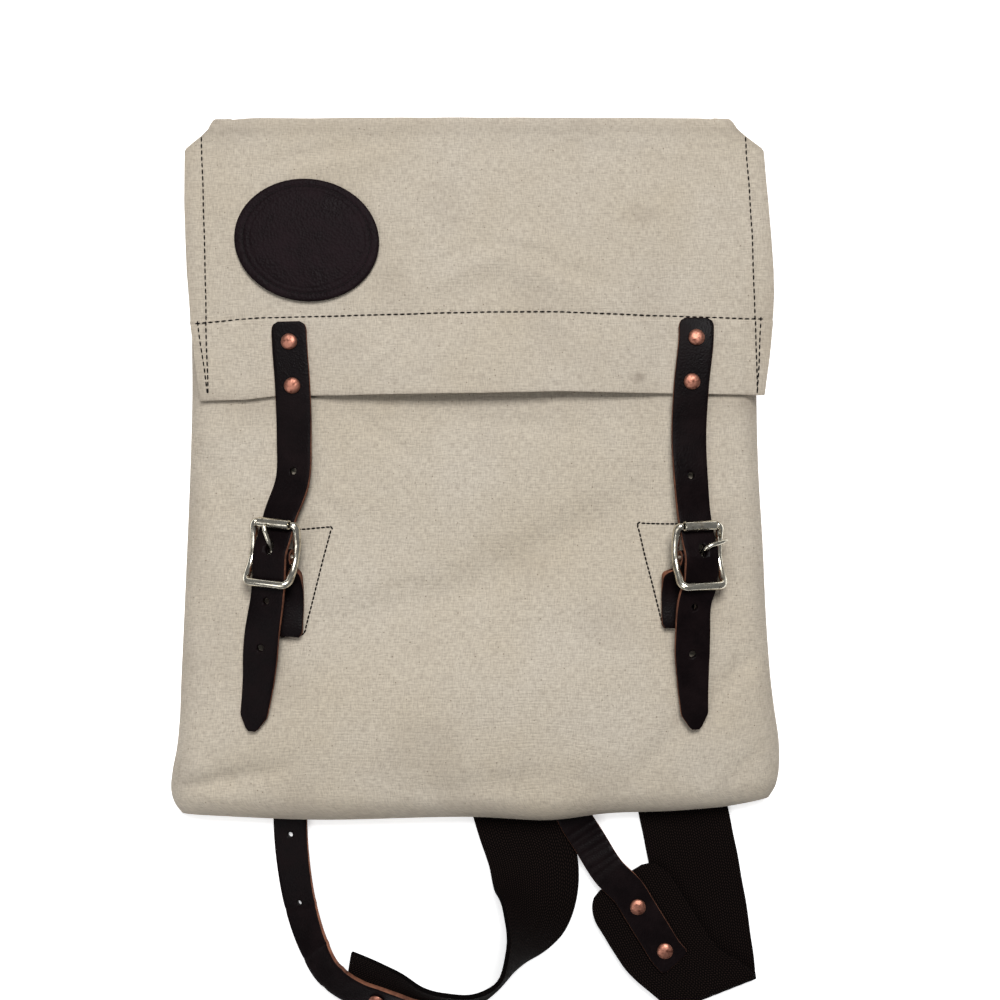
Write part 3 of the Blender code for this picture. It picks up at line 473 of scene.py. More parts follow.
def ranged(tree: Tree, value: object, span: tuple, result: tuple = (0.0, 1.0)) -> Socket:
    """A value moved from one span to another, and held inside it."""
    ends = ("From Min", "From Max", "To Min", "To Max")
    return add(tree, "ShaderNodeMapRange", {"Value": value, **dict(zip(ends, span + result))}).outputs[0]


def clouds(tree: Tree, place: Socket, scale: float, detail: float, roughness: float = 0.5) -> Socket:
    """Soft noise, 0 to 1, at a scale in patches for each metre."""
    inputs = {"Vector": place, "Scale": scale, "Detail": detail, "Roughness": roughness}
    return add(tree, "ShaderNodeTexNoise", inputs).outputs["Fac"]


@dataclass(frozen=True)
class Finish:
    """What every finish has: a name, and how rough, metallic and reflective its surface is."""

    name: str
    roughness: float
    metallic: float = 0.0
    reflection: float = 0.5

    def start(self) -> tuple[Material, Tree, Node]:
        """A new material with its tree and its shader node."""
        material = bpy.data.materials.new(self.name)
        material.use_nodes = True
        tree = material.node_tree
        shader = tree.nodes["Principled BSDF"]
        shader.inputs["Metallic"].default_value = self.metallic
        shader.inputs["Roughness"].default_value = self.roughness
        shader.inputs["Specular IOR Level"].default_value = self.reflection
        return material, tree, shader

    def relief(self, shader: Node, height: Socket, depth: float) -> None:
        """Adds a bump of a depth in millimetres."""
        tree = shader.id_data
        bump = add(tree, "ShaderNodeBump", {"Height": height, "Distance": depth * MM, "Strength": 1.0})
        tree.links.new(bump.outputs[0], shader.inputs["Normal"])

    def colour(self, shader: Node, colour: Socket) -> None:
        """Links the colour of the surface."""
        shader.id_data.links.new(colour, shader.inputs["Base Color"])

    def worn_shine(self, shader: Node, wear: Socket, span: tuple, change: tuple) -> None:
        """Lets wear vary the roughness, by what change adds to it at both ends of the span."""
        tree = shader.id_data
        result = (self.roughness + change[0], self.roughness + change[1])
        tree.links.new(ranged(tree, wear, span, result), shader.inputs["Roughness"])


@dataclass(frozen=True)
class CanvasFinish(Finish):
    """Heavy unbleached cotton canvas: a matt plain weave with slubs, husk flecks, painted shade between its
    threads, and a soft grey that is partly soiling and partly painted shade.
    """

    cloth: str = "#DAD0BF"
    warm: str = "#D3C7B2"
    # the grey of slubs and soiling, also used for painted shade and painted shadow
    soil_and_shade: str = "#93877A"
    fleck: str = "#5E4C3C"
    thread_pitch: float = 0.75
    depth: float = 0.28
    slub_stretches: tuple = ((260.0, 1500.0, 1.0), (1500.0, 260.0, 1.0))

    def build(self) -> Material:
        """Makes the material, on the piece's own map, in metres."""
        material, tree, shader = self.start()
        uv = add(tree, "ShaderNodeUVMap", uv_map="Cloth").outputs[0]
        scale = WAVE_PERIOD / (self.thread_pitch * MM)
        threads = []
        for direction in ("X", "Y"):
            inputs = {"Vector": uv, "Scale": scale, "Distortion": 0.8, "Detail": 1.0, "Detail Scale": 0.6}
            threads.append(add(tree, "ShaderNodeTexWave", inputs, bands_direction=direction).outputs["Fac"])
        slubs = []
        for stretch in self.slub_stretches:
            mapping = add(tree, "ShaderNodeMapping", {"Vector": uv, "Scale": stretch}).outputs[0]
            slubs.append(clouds(tree, mapping, 1.0, 2.0))
        weave = maths(tree, "MULTIPLY", threads[0], threads[1])
        slub = maths(tree, "ADD", slubs[0], slubs[1])
        cloudy = clouds(tree, uv, 11.0, 4.0, 0.6)
        mottled = clouds(tree, uv, 260.0, 3.0)
        colour = blend(tree, ranged(tree, cloudy, (0.38, 0.68)), linear(self.cloth), linear(self.warm))
        colour = blend(tree, ranged(tree, slub, (0.8, 1.3), (0.0, 0.55)), colour, linear(self.soil_and_shade))
        colour = blend(tree, ranged(tree, mottled, (0.5, 0.78), (0.0, 0.20)), colour, linear(self.soil_and_shade))
        # painted shade: darker between the threads of the weave
        colour = blend(tree, ranged(tree, weave, (0.0, 0.5), (0.16, 0.0)), colour, linear(self.soil_and_shade))
        cells = add(tree, "ShaderNodeTexVoronoi", {"Vector": uv, "Scale": 330.0}).outputs
        draw = add(tree, "ShaderNodeSeparateColor", {0: cells["Color"]}).outputs[0]
        chosen = maths(tree, "GREATER_THAN", draw, 0.82)
        near = ranged(tree, cells["Distance"], (0.06, 0.16), (0.7, 0.0))
        colour = blend(tree, maths(tree, "MULTIPLY", chosen, near), colour, linear(self.fleck))
        # the soil attribute: soiling and stains, with painted shade on the flap and a painted shadow below
        # its hem
        soil_and_shade_share = add(tree, "ShaderNodeAttribute", attribute_name="soil_and_shade").outputs["Fac"]
        colour = blend(tree, soil_and_shade_share, colour, linear(self.soil_and_shade))
        height = maths(tree, "ADD", weave, maths(tree, "MULTIPLY", slub, 0.6))
        self.colour(shader, colour)
        self.relief(shader, height, self.depth)
        return material


@dataclass(frozen=True)
class LeatherFinish(Finish):
    """Oiled bridle leather, dyed through: smooth with a fine grain, and lighter where it is rubbed."""

    base: str = "#0B0708"
    rubbed: str = "#160E0F"
    grain: float = 0.9
    depth: float = 0.10

    def build(self) -> Material:
        """Makes the material, on the model's own coordinates, in metres."""
        material, tree, shader = self.start()
        place = add(tree, "ShaderNodeTexCoord").outputs["Object"]
        scale = 1 / (self.grain * MM)
        cells = add(tree, "ShaderNodeTexVoronoi", {"Vector": place, "Scale": scale}).outputs["Distance"]
        fine = clouds(tree, place, 900.0, 4.0)
        broad = clouds(tree, place, 55.0, 4.0, 0.65)
        colour = blend(tree, ranged(tree, broad, (0.42, 0.75)), linear(self.base), linear(self.rubbed))
        colour = blend(tree, ranged(tree, cells, (0.2, 0.7), (0.0, 0.25)), colour, linear(self.rubbed))
        self.worn_shine(shader, broad, (0.3, 0.7), (-0.08, 0.12))
        height = maths(tree, "ADD", cells, maths(tree, "MULTIPLY", fine, 0.8))
        self.colour(shader, colour)
        self.relief(shader, height, self.depth)
        return material


@dataclass(frozen=True)
class CutEdgeFinish(Finish):
    """The raw cut edge of leather: rough, red brown and layered."""

    base: str = "#8A5A44"
    dark: str = "#4A2C22"
    depth: float = 0.15

    def build(self) -> Material:
        """Makes the material."""
        material, tree, shader = self.start()
        place = add(tree, "ShaderNodeTexCoord").outputs["Object"]
        layers = clouds(tree, place, 420.0, 3.0)
        patches = clouds(tree, place, 60.0, 2.0)
        layered, patched = maths(tree, "MULTIPLY", layers, 0.5), maths(tree, "MULTIPLY", patches, 0.6)
        mixed = maths(tree, "ADD", layered, patched)
        colour = blend(tree, ranged(tree, mixed, (0.42, 0.72)), linear(self.base), linear(self.dark))
        self.colour(shader, colour)
        self.relief(shader, layers, self.depth)
        return material


@dataclass(frozen=True)
class WebbingFinish(Finish):
    """Cotton webbing: thick ribs in a herringbone, dull, with high threads painted lighter: dust, and a
    painted highlight on the ribs.
    """

    base: str = "#070505"
    high: str = "#281E1B"
    rib: float = 1.7
    column: float = 6.2
    depth: float = 0.4

    def build(self) -> Material:
        """Makes the material, on the piece's own map, in metres."""
        material, tree, shader = self.start()
        uv = add(tree, "ShaderNodeUVMap", uv_map="Cloth").outputs[0]
        split = add(tree, "ShaderNodeSeparateXYZ", {0: uv}).outputs
        zigzag = maths(tree, "PINGPONG", split[0], self.column * MM / 2)
        slanted = add(tree, "ShaderNodeCombineXYZ", {0: maths(tree, "ADD", split[1], zigzag)}).outputs[0]
        scale = WAVE_PERIOD / (self.rib * MM)
        waves = []
        for place, pitch in ((slanted, scale), (uv, scale * 1.3)):
            wave = add(tree, "ShaderNodeTexWave", {"Vector": place, "Scale": pitch}, bands_direction="X")
            waves.append(wave.outputs["Fac"])
        fuzz = clouds(tree, uv, 700.0, 3.0)
        height = maths(tree, "ADD", maths(tree, "MULTIPLY", *waves), maths(tree, "MULTIPLY", fuzz, 0.5))
        # painted highlight: the high threads of the ribs are painted lighter, along with the fuzz
        colour = blend(tree, ranged(tree, height, (0.35, 1.25)), linear(self.base), linear(self.high))
        self.colour(shader, colour)
        self.relief(shader, height, self.depth)
        return material


@dataclass(frozen=True)
class MetalFinish(Finish):
    """Plated or solid metal that has been handled: uneven shine, fine scratches and dull spots."""

    base: str = "#DAD4C4"
    dull: str = "#8A8274"
    spots: float = 240.0
    dent: float = 0.04

    def build(self) -> Material:
        """Makes the material."""
        material, tree, shader = self.start()
        place = add(tree, "ShaderNodeTexCoord").outputs["Object"]
        spots = clouds(tree, place, self.spots, 4.0)
        colour = blend(tree, ranged(tree, spots, (0.5, 0.72)), linear(self.base), linear(self.dull))
        self.worn_shine(shader, spots, (0.35, 0.7), (-0.06, 0.2))
        self.colour(shader, colour)
        self.relief(shader, spots, self.dent)
        return material


@dataclass(frozen=True)
class ThreadFinish(Finish):
    """Waxed dark brown thread."""

    base: str = "#120D0E"
    depth: float = 0.08

    def build(self) -> Material:
        """Makes the material."""
        material, tree, shader = self.start()
        place = add(tree, "ShaderNodeTexCoord").outputs["Object"]
        shader.inputs["Base Color"].default_value = linear(self.base)
        self.relief(shader, clouds(tree, place, 1500.0, 2.0), self.depth)
        return material


@dataclass(frozen=True)
class FloorFinish(Finish):
    """A plain white floor that glows a little, so that it stays white away from the shadow."""

    base: str = "#FCFCFC"
    glow: float = 0.5

    def build(self) -> Material:
        """Makes the material."""
        material, _, shader = self.start()
        shader.inputs["Base Color"].default_value = linear(self.base)
        shader.inputs["Emission Color"].default_value = linear(self.base)
        shader.inputs["Emission Strength"].default_value = self.glow
        return material


@dataclass
class Finishes:
    """Every material of the bag, made once."""

    canvas: Material
    leather: Material
    patch: Material
    edge: Material
    webbing: Material
    nickel: Material
    copper: Material
    thread: Material

    @classmethod
    def made(cls) -> "Finishes":
        """Makes the materials."""
        tooled = {"base": "#130C0E", "rubbed": "#21171A", "grain": 1.4, "depth": 0.22}
        hammered = {"base": "#A97462", "dull": "#5C382E", "spots": 420.0, "dent": 0.3}
        return cls(
            canvas=CanvasFinish("unbleached_canvas", 0.93, reflection=0.2).build(),
            leather=LeatherFinish("bridle_leather", 0.36, reflection=0.04).build(),
            patch=LeatherFinish("tooled_leather", 0.48, reflection=0.04, **tooled).build(),
            edge=CutEdgeFinish("cut_leather_edge", 0.8, reflection=0.2).build(),
            webbing=WebbingFinish("cotton_webbing", 0.95, reflection=0.03).build(),
            nickel=MetalFinish("nickel_plate", 0.16, metallic=1.0).build(),
            copper=MetalFinish("hammered_copper", 0.44, metallic=1.0, **hammered).build(),
            thread=ThreadFinish("waxed_thread", 0.75, reflection=0.15).build(),
        )


# Stitches and rivets, laid by Geometry Nodes


@dataclass(frozen=True)
class Row:
    """Points and facing of one row of stitches, or of one group of rivets, in millimetres on the plan."""

    points: Array
    ups: Array
    closed: bool = False


def marker_piece(name: str, rows: list[Row], joined: bool) -> Piece:
    """A mesh of points with their facings as an attribute, and with edges along each row if joined."""
    points, ups, edges, start = [], [], [], 0
    for row in rows:
        points.append(row.points)
        ups.append(row.ups)
        if joined:
            edges += [(start + i, start + i + 1) for i in range(len(row.points) - 1)]
            edges += [(start + len(row.points) - 1, start)] if row.closed else []
        start += len(row.points)
    mesh = bpy.data.meshes.new(name)
    mesh.from_pydata(to_model(np.concatenate(points)).tolist(), edges, [])
    layer = mesh.attributes.new("facing", "FLOAT_VECTOR", "POINT")
    layer.data.foreach_set("vector", np.concatenate(ups).astype(np.float32).ravel())
    return placed(name, mesh)


def new_tree(name: str, sizes: dict[str, float]) -> tuple[Tree, Node, dict[str, str]]:
    """A Geometry Nodes tree with a named input for each size.

    Args:
        name: the tree's name.
        sizes: name and default of each size, in metres.

    Returns:
        The tree, its input node, and the socket identifier of each input by name.
    """
    tree = bpy.data.node_groups.new(name, "GeometryNodeTree")
    tree.interface.new_socket("Geometry", in_out="INPUT", socket_type="NodeSocketGeometry")
    tree.interface.new_socket("Geometry", in_out="OUTPUT", socket_type="NodeSocketGeometry")
    names = {}
    for size, default in sizes.items():
        socket = tree.interface.new_socket(size, in_out="INPUT", socket_type="NodeSocketFloat")
        socket.default_value = default
        names[size] = socket.identifier
    socket = tree.interface.new_socket("Finish", in_out="INPUT", socket_type="NodeSocketMaterial")
    names["Finish"] = socket.identifier
    return tree, add(tree, "NodeGroupInput"), names


def facing_turn(tree: Tree, way: Socket | None) -> Socket:
    """The turn that stands an instance on its point's facing, with its X along the way if there is one."""
    facing = add(tree, "GeometryNodeInputNamedAttribute", {"Name": "facing"}, data_type="FLOAT_VECTOR")
    stood = add(tree, "FunctionNodeAlignRotationToVector", {"Vector": facing.outputs["Attribute"]}, axis="Z")
    if way is None:
        return stood.outputs[0]
    inputs = {"Rotation": stood.outputs[0], "Vector": way}
    return add(tree, "FunctionNodeAlignRotationToVector", inputs, axis="X", pivot_axis="Z").outputs[0]


def finish_tree(tree: Tree, entry: Node, geometry: Socket) -> None:
    """Ends a tree: its instances made real, in one material."""
    real = add(tree, "GeometryNodeRealizeInstances", {0: geometry}).outputs[0]
    smooth_faces = add(tree, "GeometryNodeSetShadeSmooth", {0: real}).outputs[0]
    inputs = {0: smooth_faces, "Material": entry.outputs["Finish"]}
    add(tree, "NodeGroupOutput", {0: add(tree, "GeometryNodeSetMaterial", inputs).outputs[0]})


def run_tree(piece: Piece, tree: Tree, names: dict[str, str], values: dict[str, object]) -> None:
    """Runs a tree on a piece with its inputs set, and keeps the plain mesh that it makes."""
    nodes = piece.modifiers.new("Laid", "NODES")
    nodes.node_group = tree
    for name, value in values.items():
        nodes[names[name]] = value
    bake(piece)


@dataclass
class Stitching:
    """Sewn lines: each stitch is a short bead of thread that sinks a little into the cloth."""

    finishes: Finishes
    pitch: float = 3.6
    length: float = 2.9
    thickness: float = 0.85

    def sizes(self) -> dict[str, float]:
        """The sizes that the nodes take, in metres."""
        return {"Pitch": self.pitch * MM, "Length": self.length * MM, "Thickness": self.thickness * MM}

    def tree(self) -> tuple[Tree, dict[str, str]]:
        """The nodes that lay stitches along the edges of a mesh."""
        tree, entry, names = new_tree("stitches", self.sizes())
        line = add(tree, "GeometryNodeMeshToCurve", {0: entry.outputs["Geometry"]}).outputs[0]
        inputs = {0: line, "Length": entry.outputs["Pitch"]}
        spaced = add(tree, "GeometryNodeResampleCurve", inputs, mode="LENGTH").outputs[0]
        bead = add(tree, "GeometryNodeMeshUVSphere", {"Segments": 8, "Rings": 6, "Radius": 0.5}).outputs[0]
        way = add(tree, "GeometryNodeInputTangent").outputs[0]
        thick = entry.outputs["Thickness"]
        size = add(tree, "ShaderNodeCombineXYZ", {0: entry.outputs["Length"], 1: thick, 2: thick}).outputs[0]
        inputs = {"Points": spaced, "Instance": bead, "Rotation": facing_turn(tree, way), "Scale": size}
        laid = add(tree, "GeometryNodeInstanceOnPoints", inputs).outputs[0]
        finish_tree(tree, entry, laid)
        return tree, names

    def sew(self, name: str, rows: list[Row]) -> None:
        """Sews rows of stitches as one piece of thread."""
        tree, names = self.tree()
        piece = marker_piece(name, rows, joined=True)
        run_tree(piece, tree, names, {**self.sizes(), "Finish": self.finishes.thread})
        dress(piece, self.finishes.thread)
        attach(piece, "root")
        log.info("%s: %d faces", name, len(piece.data.polygons))


# The rivet's side, from its shank up to the top of its dome: share of the head's radius, and
# share of the head's rise, or millimetres where it is below 0
RIVET_SIDE = [
    (0.31, -2.3),
    (0.31, 0.0),
    (0.97, 0.0),
    (1.0, 0.16),
    (0.97, 0.34),
    (0.86, 0.6),
    (0.66, 0.84),
    (0.4, 0.96),
    (0.18, 1.0),
]


@dataclass
class Riveting:
    """Copper rivets: a low hammered dome on a shank."""

    finishes: Finishes
    head: float = 9.0
    rise: float = 1.8
    sides: int = 28
    uneven: float = 0.012
    hammering: float = 0.12

    def head_piece(self) -> Piece:
        """One rivet, standing on the leather at height 0, with its shank below."""
        turns = np.arange(self.sides) * math.tau / self.sides
        rings = []
        for k, (share, rise) in enumerate(RIVET_SIDE):
            radius = share * self.head / 2 * (1 + self.uneven * np.sin(3 * turns + k))
            high = rise * self.rise if rise > 0 else rise
            ring = [radius * np.cos(turns), radius * np.sin(turns), np.full(self.sides, high)]
            rings.append(np.stack(ring, axis=1))
        points = np.concatenate(rings)
        top = points[:, 2] > 0.3 * self.rise
        points[top, 2] += self.hammering * ripple(points[top, 0], points[top, 1], 1.6, 4.2)
        mesh = bpy.data.meshes.new("rivet_head")
        mesh.from_pydata((points * MM).tolist(), [], skin_faces(len(rings), self.sides, False))
        return placed("rivet_head", mesh)

    def set_in(self, name: str, places: Spots, nodes: list[str]) -> None:
        """Sets rivets as one piece.

        Args:
            name: the piece's name.
            places: where each rivet goes.
            nodes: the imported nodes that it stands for.
        """
        head = self.head_piece()
        tree, entry, names = new_tree("rivets", {"Size": 1.0})
        shown = add(tree, "GeometryNodeObjectInfo", {"Object": head}).outputs["Geometry"]
        points = add(tree, "GeometryNodeMeshToPoints", {0: entry.outputs["Geometry"]}).outputs[0]
        size = add(tree, "ShaderNodeCombineXYZ", {i: entry.outputs["Size"] for i in range(3)}).outputs[0]
        inputs = {"Points": points, "Instance": shown, "Rotation": facing_turn(tree, None), "Scale": size}
        finish_tree(tree, entry, add(tree, "GeometryNodeInstanceOnPoints", inputs).outputs[0])
        row = Row(np.array([place for place, _ in places]), np.array([up for _, up in places]))
        piece = marker_piece(name, [row], joined=False)
        run_tree(piece, tree, names, {"Size": 1.0, "Finish": self.finishes.copper})
        dress(piece, self.finishes.copper)
        bpy.data.objects.remove(head)
        hand_over(piece, nodes)


# The bag's form, shared by all that lies on it

BAG = np.array(
    [
        # y, left edge, right edge, height of the crown
        (-194, -163.5, 163.5, 25),
        (-188, -167.5, 167.0, 26),
        (-181, -169.6, 168.8, 27.5),
        (-170, -169.0, 169.5, 29),
        (-157, -166.5, 169.0, 30.5),
        (-140, -164.8, 167.0, 31),
        (-120, -164.0, 164.8, 31),
        (-85, -162.5, 162.2, 29.5),
        (-43, -160.7, 160.3, 28),
        (0, -159.0, 157.8, 28),
        (40, -158.0, 156.8, 27),
        (77, -158.2, 156.5, 26),
        (130, -156.0, 155.5, 24),
        (165, -152.0, 151.0, 20.6),
        (184, -147.0, 145.5, 18.2),
    ],
    float,
)
BOTTOM_EDGE = np.array(
    [
        # x, y
        (-164, -193.5),
        (-92, -196.5),
        (2, -195),
        (45, -196.5),
        (70, -193.3),
        (114, -191.4),
        (140, -189),
        (165, -184.5),
    ],
    float,
)
FLAP_SIDES = np.array(
    [
        # y, left edge, right edge
        (39, -150.1, 158.4),
        (60, -153.4, 161.2),
        (79, -155.8, 163.1),
        (95, -157.0, 163.9),
        (107, -158.1, 163.7),
        (146, -159.8, 161.2),
        (157, -160.0, 160.3),
        (175, -160.3, 159.2),
        (182, -152.6, 150.5),
        (187, -147.5, 144.8),
        (193, -144.5, 140.5),
    ],
    float,
)
# x, y
HEM_EDGE = np.array([(-147, 36), (-125, 36.5), (-109, 38.5), (3, 39.6), (47, 40.7), (156, 39.3)], float)
# x, y, half sizes and height of the places where the back lies on straps
RESTS = [(2, 160, 100, 62, 8.8), (-103, -128, 36, 64, 10.6), (74, -122, 60, 70, 10.8)]
# y and x along the left and the right closure strap
STRAP_LINES = [
    ((-150, -118, -90, -48, -8, 16, 44, 90), (-121.5, -117.2, -114.4, -109.8, -99.6, -98.2, -99, -101.5)),
    ((-150, -120, -94, -51, -8, 16, 44, 90), (119.8, 118.6, 118.8, 122, 118.4, 116.6, 117.6, 120.8)),
]
PATCH_CENTRE = (-91.9, 124.0)


def flap_sides(y: Array | float) -> tuple[Array, Array]:
    """The flap's left and right edge at each y."""
    return tuple(np.interp(y, FLAP_SIDES[:, 0], FLAP_SIDES[:, k]) for k in (1, 2))


@dataclass
class BagForm:
    """Heights of the bag and its flap over the plan, with the small folds that only the cloth has."""

    mouth: float = 184.0
    end: float = -194.0
    rim: float = 9.0
    side_round: float = 13.0
    end_round: float = 15.0
    dome: float = 0.10
    back_lift: float = 7.0
    flap_clear: float = 0.7
    hem_line: float = 80.0
    flap_end: float = 39.0
    dents: list[Dent] = field(
        default_factory=lambda: [
            Dent(8, -62, 90, 22, 27, 2.6),
            Dent(-3, -127, 100, 26, 4, -2.0),
            Dent(-131, -170, 30, 6, 12, 2.4),
            Dent(126, -130, 42, 9, 45, 2.0),
            Dent(-140, -100, 34, 9, 92, 2.0),
            Dent(100, 4, 30, 8, 100, 2.0),
            Dent(-132, 8, 26, 9, 70, 1.6),
        ]
    )
    ridges: list[Dent] = field(
        default_factory=lambda: [
            Dent(-76, 168, 36, 6, 11, -1.2),
            Dent(-12, 106, 36, 8, 24, -2.2),
            Dent(42, 104, 36, 8, -19, -1.8),
            Dent(-58, 60, 22, 6, 42, -1.8),
            Dent(-22, 64, 22, 6, 42, -1.4),
            Dent(60, 62, 24, 7, 130, -1.4),
        ]
    )
    bag_creases: list[Crease] = field(
        default_factory=lambda: [
            Crease(-88, -86, 8, -62, 9, 1.3),
            Crease(-8, -66, 92, -16, 9, 1.2),
            Crease(-162, -176, -100, -164, 4.0, 1.6),
            Crease(-150, -150, -128, -182, 3.4, 1.1),
            Crease(90, -166, 160, -94, 5.0, 1.4),
            Crease(132, -182, 158, -150, 3.6, 1.1),
            Crease(-88, -14, -70, -30, 2.6, 0.9),
            Crease(-92, -4, -76, -22, 2.4, 0.7),
            Crease(88, -8, 104, -26, 2.8, 0.9),
            Crease(84, 4, 100, -6, 2.6, 0.7),
            Crease(-158, 20, -124, -40, 5.0, 1.0),
            Crease(-150, -60, -134, -140, 5.0, 1.0),
            Crease(140, 20, 150, -70, 5.0, 1.0),
            Crease(-40, -180, 50, -168, 6.0, 0.8),
            Crease(-20, 28, 66, 18, 5.0, 0.9),
            Crease(-70, 30, -30, 4, 4.0, 0.9),
            Crease(60, 30, 84, -20, 4.0, 0.8),
        ]
    )
    flap_creases: list[Crease] = field(
        default_factory=lambda: [
            Crease(-118, 166, -42, 182, 4.0, 1.0),
            Crease(-44, 96, 8, 122, 4.5, 1.2),
            Crease(6, 120, 44, 116, 4.0, 0.9),
            Crease(12, 122, 70, 100, 4.5, 1.1),
            Crease(-78, 44, -42, 78, 3.6, 1.0),
            Crease(-40, 46, -10, 76, 3.6, 0.8),
            Crease(40, 76, 76, 48, 4.2, 0.9),
            Crease(-148, 150, -128, 90, 4.0, 0.9),
            Crease(126, 168, 150, 110, 4.5, 0.9),
            Crease(60, 176, 130, 160, 5.0, 0.8),
            Crease(-140, 70, -118, 48, 3.4, 0.9),
            Crease(132, 74, 148, 50, 3.4, 0.8),
        ]
    )

    def sides(self, y: Array) -> tuple[Array, Array]:
        """The bag's left and right edge at each y."""
        return smooth(BAG[:, 0], BAG[:, 1], y), smooth(BAG[:, 0], BAG[:, 2], y)

    def under(self, x: Array, y: Array) -> Array:
        """Height of the bag's back above the surface."""
        base = np.full(np.broadcast(x, y).shape, self.back_lift)
        for rx, ry, half_x, half_y, height in RESTS:
            near = fade(abs(x - rx), half_x, half_x * 0.6) * fade(abs(y - ry), half_y, half_y * 0.6)
            base = np.maximum(base, self.back_lift + (height - self.back_lift) * near)
        return base * fade(abs(x), 140.0, 122.0)

    def clear_of_straps(self, x: Array, y: Array) -> Array:
        """0 under a closure strap and its buckle, 1 away from both."""
        clear = np.ones(np.broadcast(x, y).shape)
        for ys, xs in STRAP_LINES:
            away = abs(x - np.interp(y, ys, xs))
            clear *= np.maximum(fade(away, 12.0, 24.0), fade(abs(y + 30.0), 126.0, 150.0))
        return clear

    def small_folds(self, x: Array, y: Array) -> Array:
        """Irregular small waves of cloth that has been folded and worn."""
        waves = 0.75 * ripple(x, y, 46.0, 1.3) + 0.34 * ripple(x, y, 19.0, 5.1)
        rumples = 0.5 * (1 - abs(ripple(x, y, 27.0, 8.4)) * 2.6).clip(0, 1) ** 3
        return waves - rumples * fade(ripple(x, y, 80.0, 2.2), -0.1, 0.35) + 0.10 * ripple(x, y, 7.0, 3.7)

    def bag_relief(self, x: Array, y: Array) -> Array:
        """What the small folds add to the bag's front, never upwards where the flap lies on it."""
        relief = (total(self.bag_creases, x, y) + self.small_folds(x, y)) * self.clear_of_straps(x, y)
        covered = fade(y, 34.0, 42.0)
        return relief * (1 - covered) + (np.minimum(relief, 0.0) - 0.2) * covered

    def flap_relief(self, x: Array, y: Array) -> Array:
        """What the small folds add to the flap."""
        relief = total(self.flap_creases, x, y) + 0.8 * self.small_folds(x + 400, y)
        patch = np.hypot((x - PATCH_CENTRE[0]) / 42.0, (y - PATCH_CENTRE[1]) / 36.0)
        held = self.clear_of_straps(x, y) * fade(patch, 0.85, 1.25) * fade(y, 192.0, 176.0)
        return np.maximum(relief * held, -0.35)

    def point(self, u: Array, v: Array, front: bool) -> Array:
        """Points of the bag's outside.

        Args:
            u: across it, from -1 to 1.
            v: from its bottom end to its mouth, in millimetres.
            front: whether they are on its front or its back.

        Returns:
            The points, with 3 numbers each.
        """
        left, right = self.sides(v)
        half = (right - left) / 2
        x = (left + right) / 2 + u * half
        y = v + (smooth(BOTTOM_EDGE[:, 0], BOTTOM_EDGE[:, 1], x) - self.end) * fade(v, -110, -186)
        edge = rounded((1 - abs(u)) * half, self.side_round) * rounded(v - self.end, self.end_round)
        if front:
            crown = smooth(BAG[:, 0], BAG[:, 3], v) * (1 - self.dome * u * u)
            lift = crown - self.rim + total(self.dents, x, y) + self.bag_relief(x, y)
            z = self.rim + lift * edge
        else:
            wave = 0.5 * ripple(x, y, 30.0, 6.6) * fade(abs(x), 122.0, 60.0)
            z = self.rim - (self.rim - self.under(x, y) - abs(wave)) * edge
        return np.stack(np.broadcast_arrays(x, y, z), axis=-1)

    def front(self, x: Array, y: Array, reach: float = 0.94) -> Array:
        """Height of the bag's front, held level past its sides, without dents."""
        left, right = self.sides(y)
        u = np.clip((2 * x - left - right) / (right - left), -reach, reach)
        edge = rounded((1 - abs(u)) * (right - left) / 2, self.side_round)
        return self.rim + (smooth(BAG[:, 0], BAG[:, 3], y) * (1 - self.dome * u * u) - self.rim) * edge

    def front_surface(self, x: Array, y: Array) -> Array:
        """Height of the bag's front with its dents and folds."""
        return self.front(x, y) + total(self.dents, x, y) + self.bag_relief(x, y)

    def flap_inner(self, x: Array, y: Array) -> Array:
        """Height of the flap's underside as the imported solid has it."""
        between = np.clip((x + 88.0) / 185.0, 0.0, 1.0)
        lift = 7.0 * np.sin(math.pi * between) ** 0.8 * fade(y, 105, self.flap_end)
        return self.front(x, y) + self.flap_clear + lift + total(self.ridges, x, y)

    def flap_wall(self, x: Array, y: Array) -> Array:
        """Share, 0 to 1, that the flap is thicker than one layer: its hem, and its turned sides."""
        left, right = flap_sides(y)
        margin = np.minimum(x - left, right - x)
        return np.maximum(fade(y, self.hem_line + 0.9, self.hem_line - 0.5), 0.45 * fade(margin, 9.5, 8.0))

    def flap_surface(self, x: Array, y: Array) -> Array:
        """Height of the flap's outside."""
        return self.flap_inner(x, y) + self.flap_relief(x, y) + CANVAS + (HEM - CANVAS) * self.flap_wall(x, y)


def facings(height: object, x: Array, y: Array) -> Array:
    """Upward normals of a height over the plan."""
    step = 1.5
    slope_x = (height(x + step, y) - height(x - step, y)) / (2 * step)
    slope_y = (height(x, y + step) - height(x, y - step)) / (2 * step)
    ups = np.stack([-slope_x, -slope_y, np.ones_like(x)], axis=-1)
    return ups / np.linalg.norm(ups, axis=-1, keepdims=True)


def sewn_row(height: object, corners: list[tuple[float, float]], closed: bool = False) -> Row:
    """A row of stitches over a surface.

    Args:
        height: the surface's height over the plan.
        corners: the row's corners on the plan.
        closed: whether it ends where it starts.

    Returns:
        The row, with a point each 1.5 mm or so.
    """
    ends = np.array(corners + corners[:1] if closed else corners, float)
    run = distances(ends)
    at = np.unique(np.concatenate([np.linspace(0, run[-1], int(run[-1] / 1.5) + 2), run]))
    x, y = np.interp(at, run, ends[:, 0]), np.interp(at, run, ends[:, 1])
    wander = 0.22 * ripple(at, at * 0, 17.0, 9.2)
    points = np.stack([x + wander, y + wander, height(x, y) + THREAD_LIFT], axis=-1)
    if closed:
        points = points[:-1]
    return Row(points, facings(height, points[:, 0], points[:, 1]), closed)


# The canvas


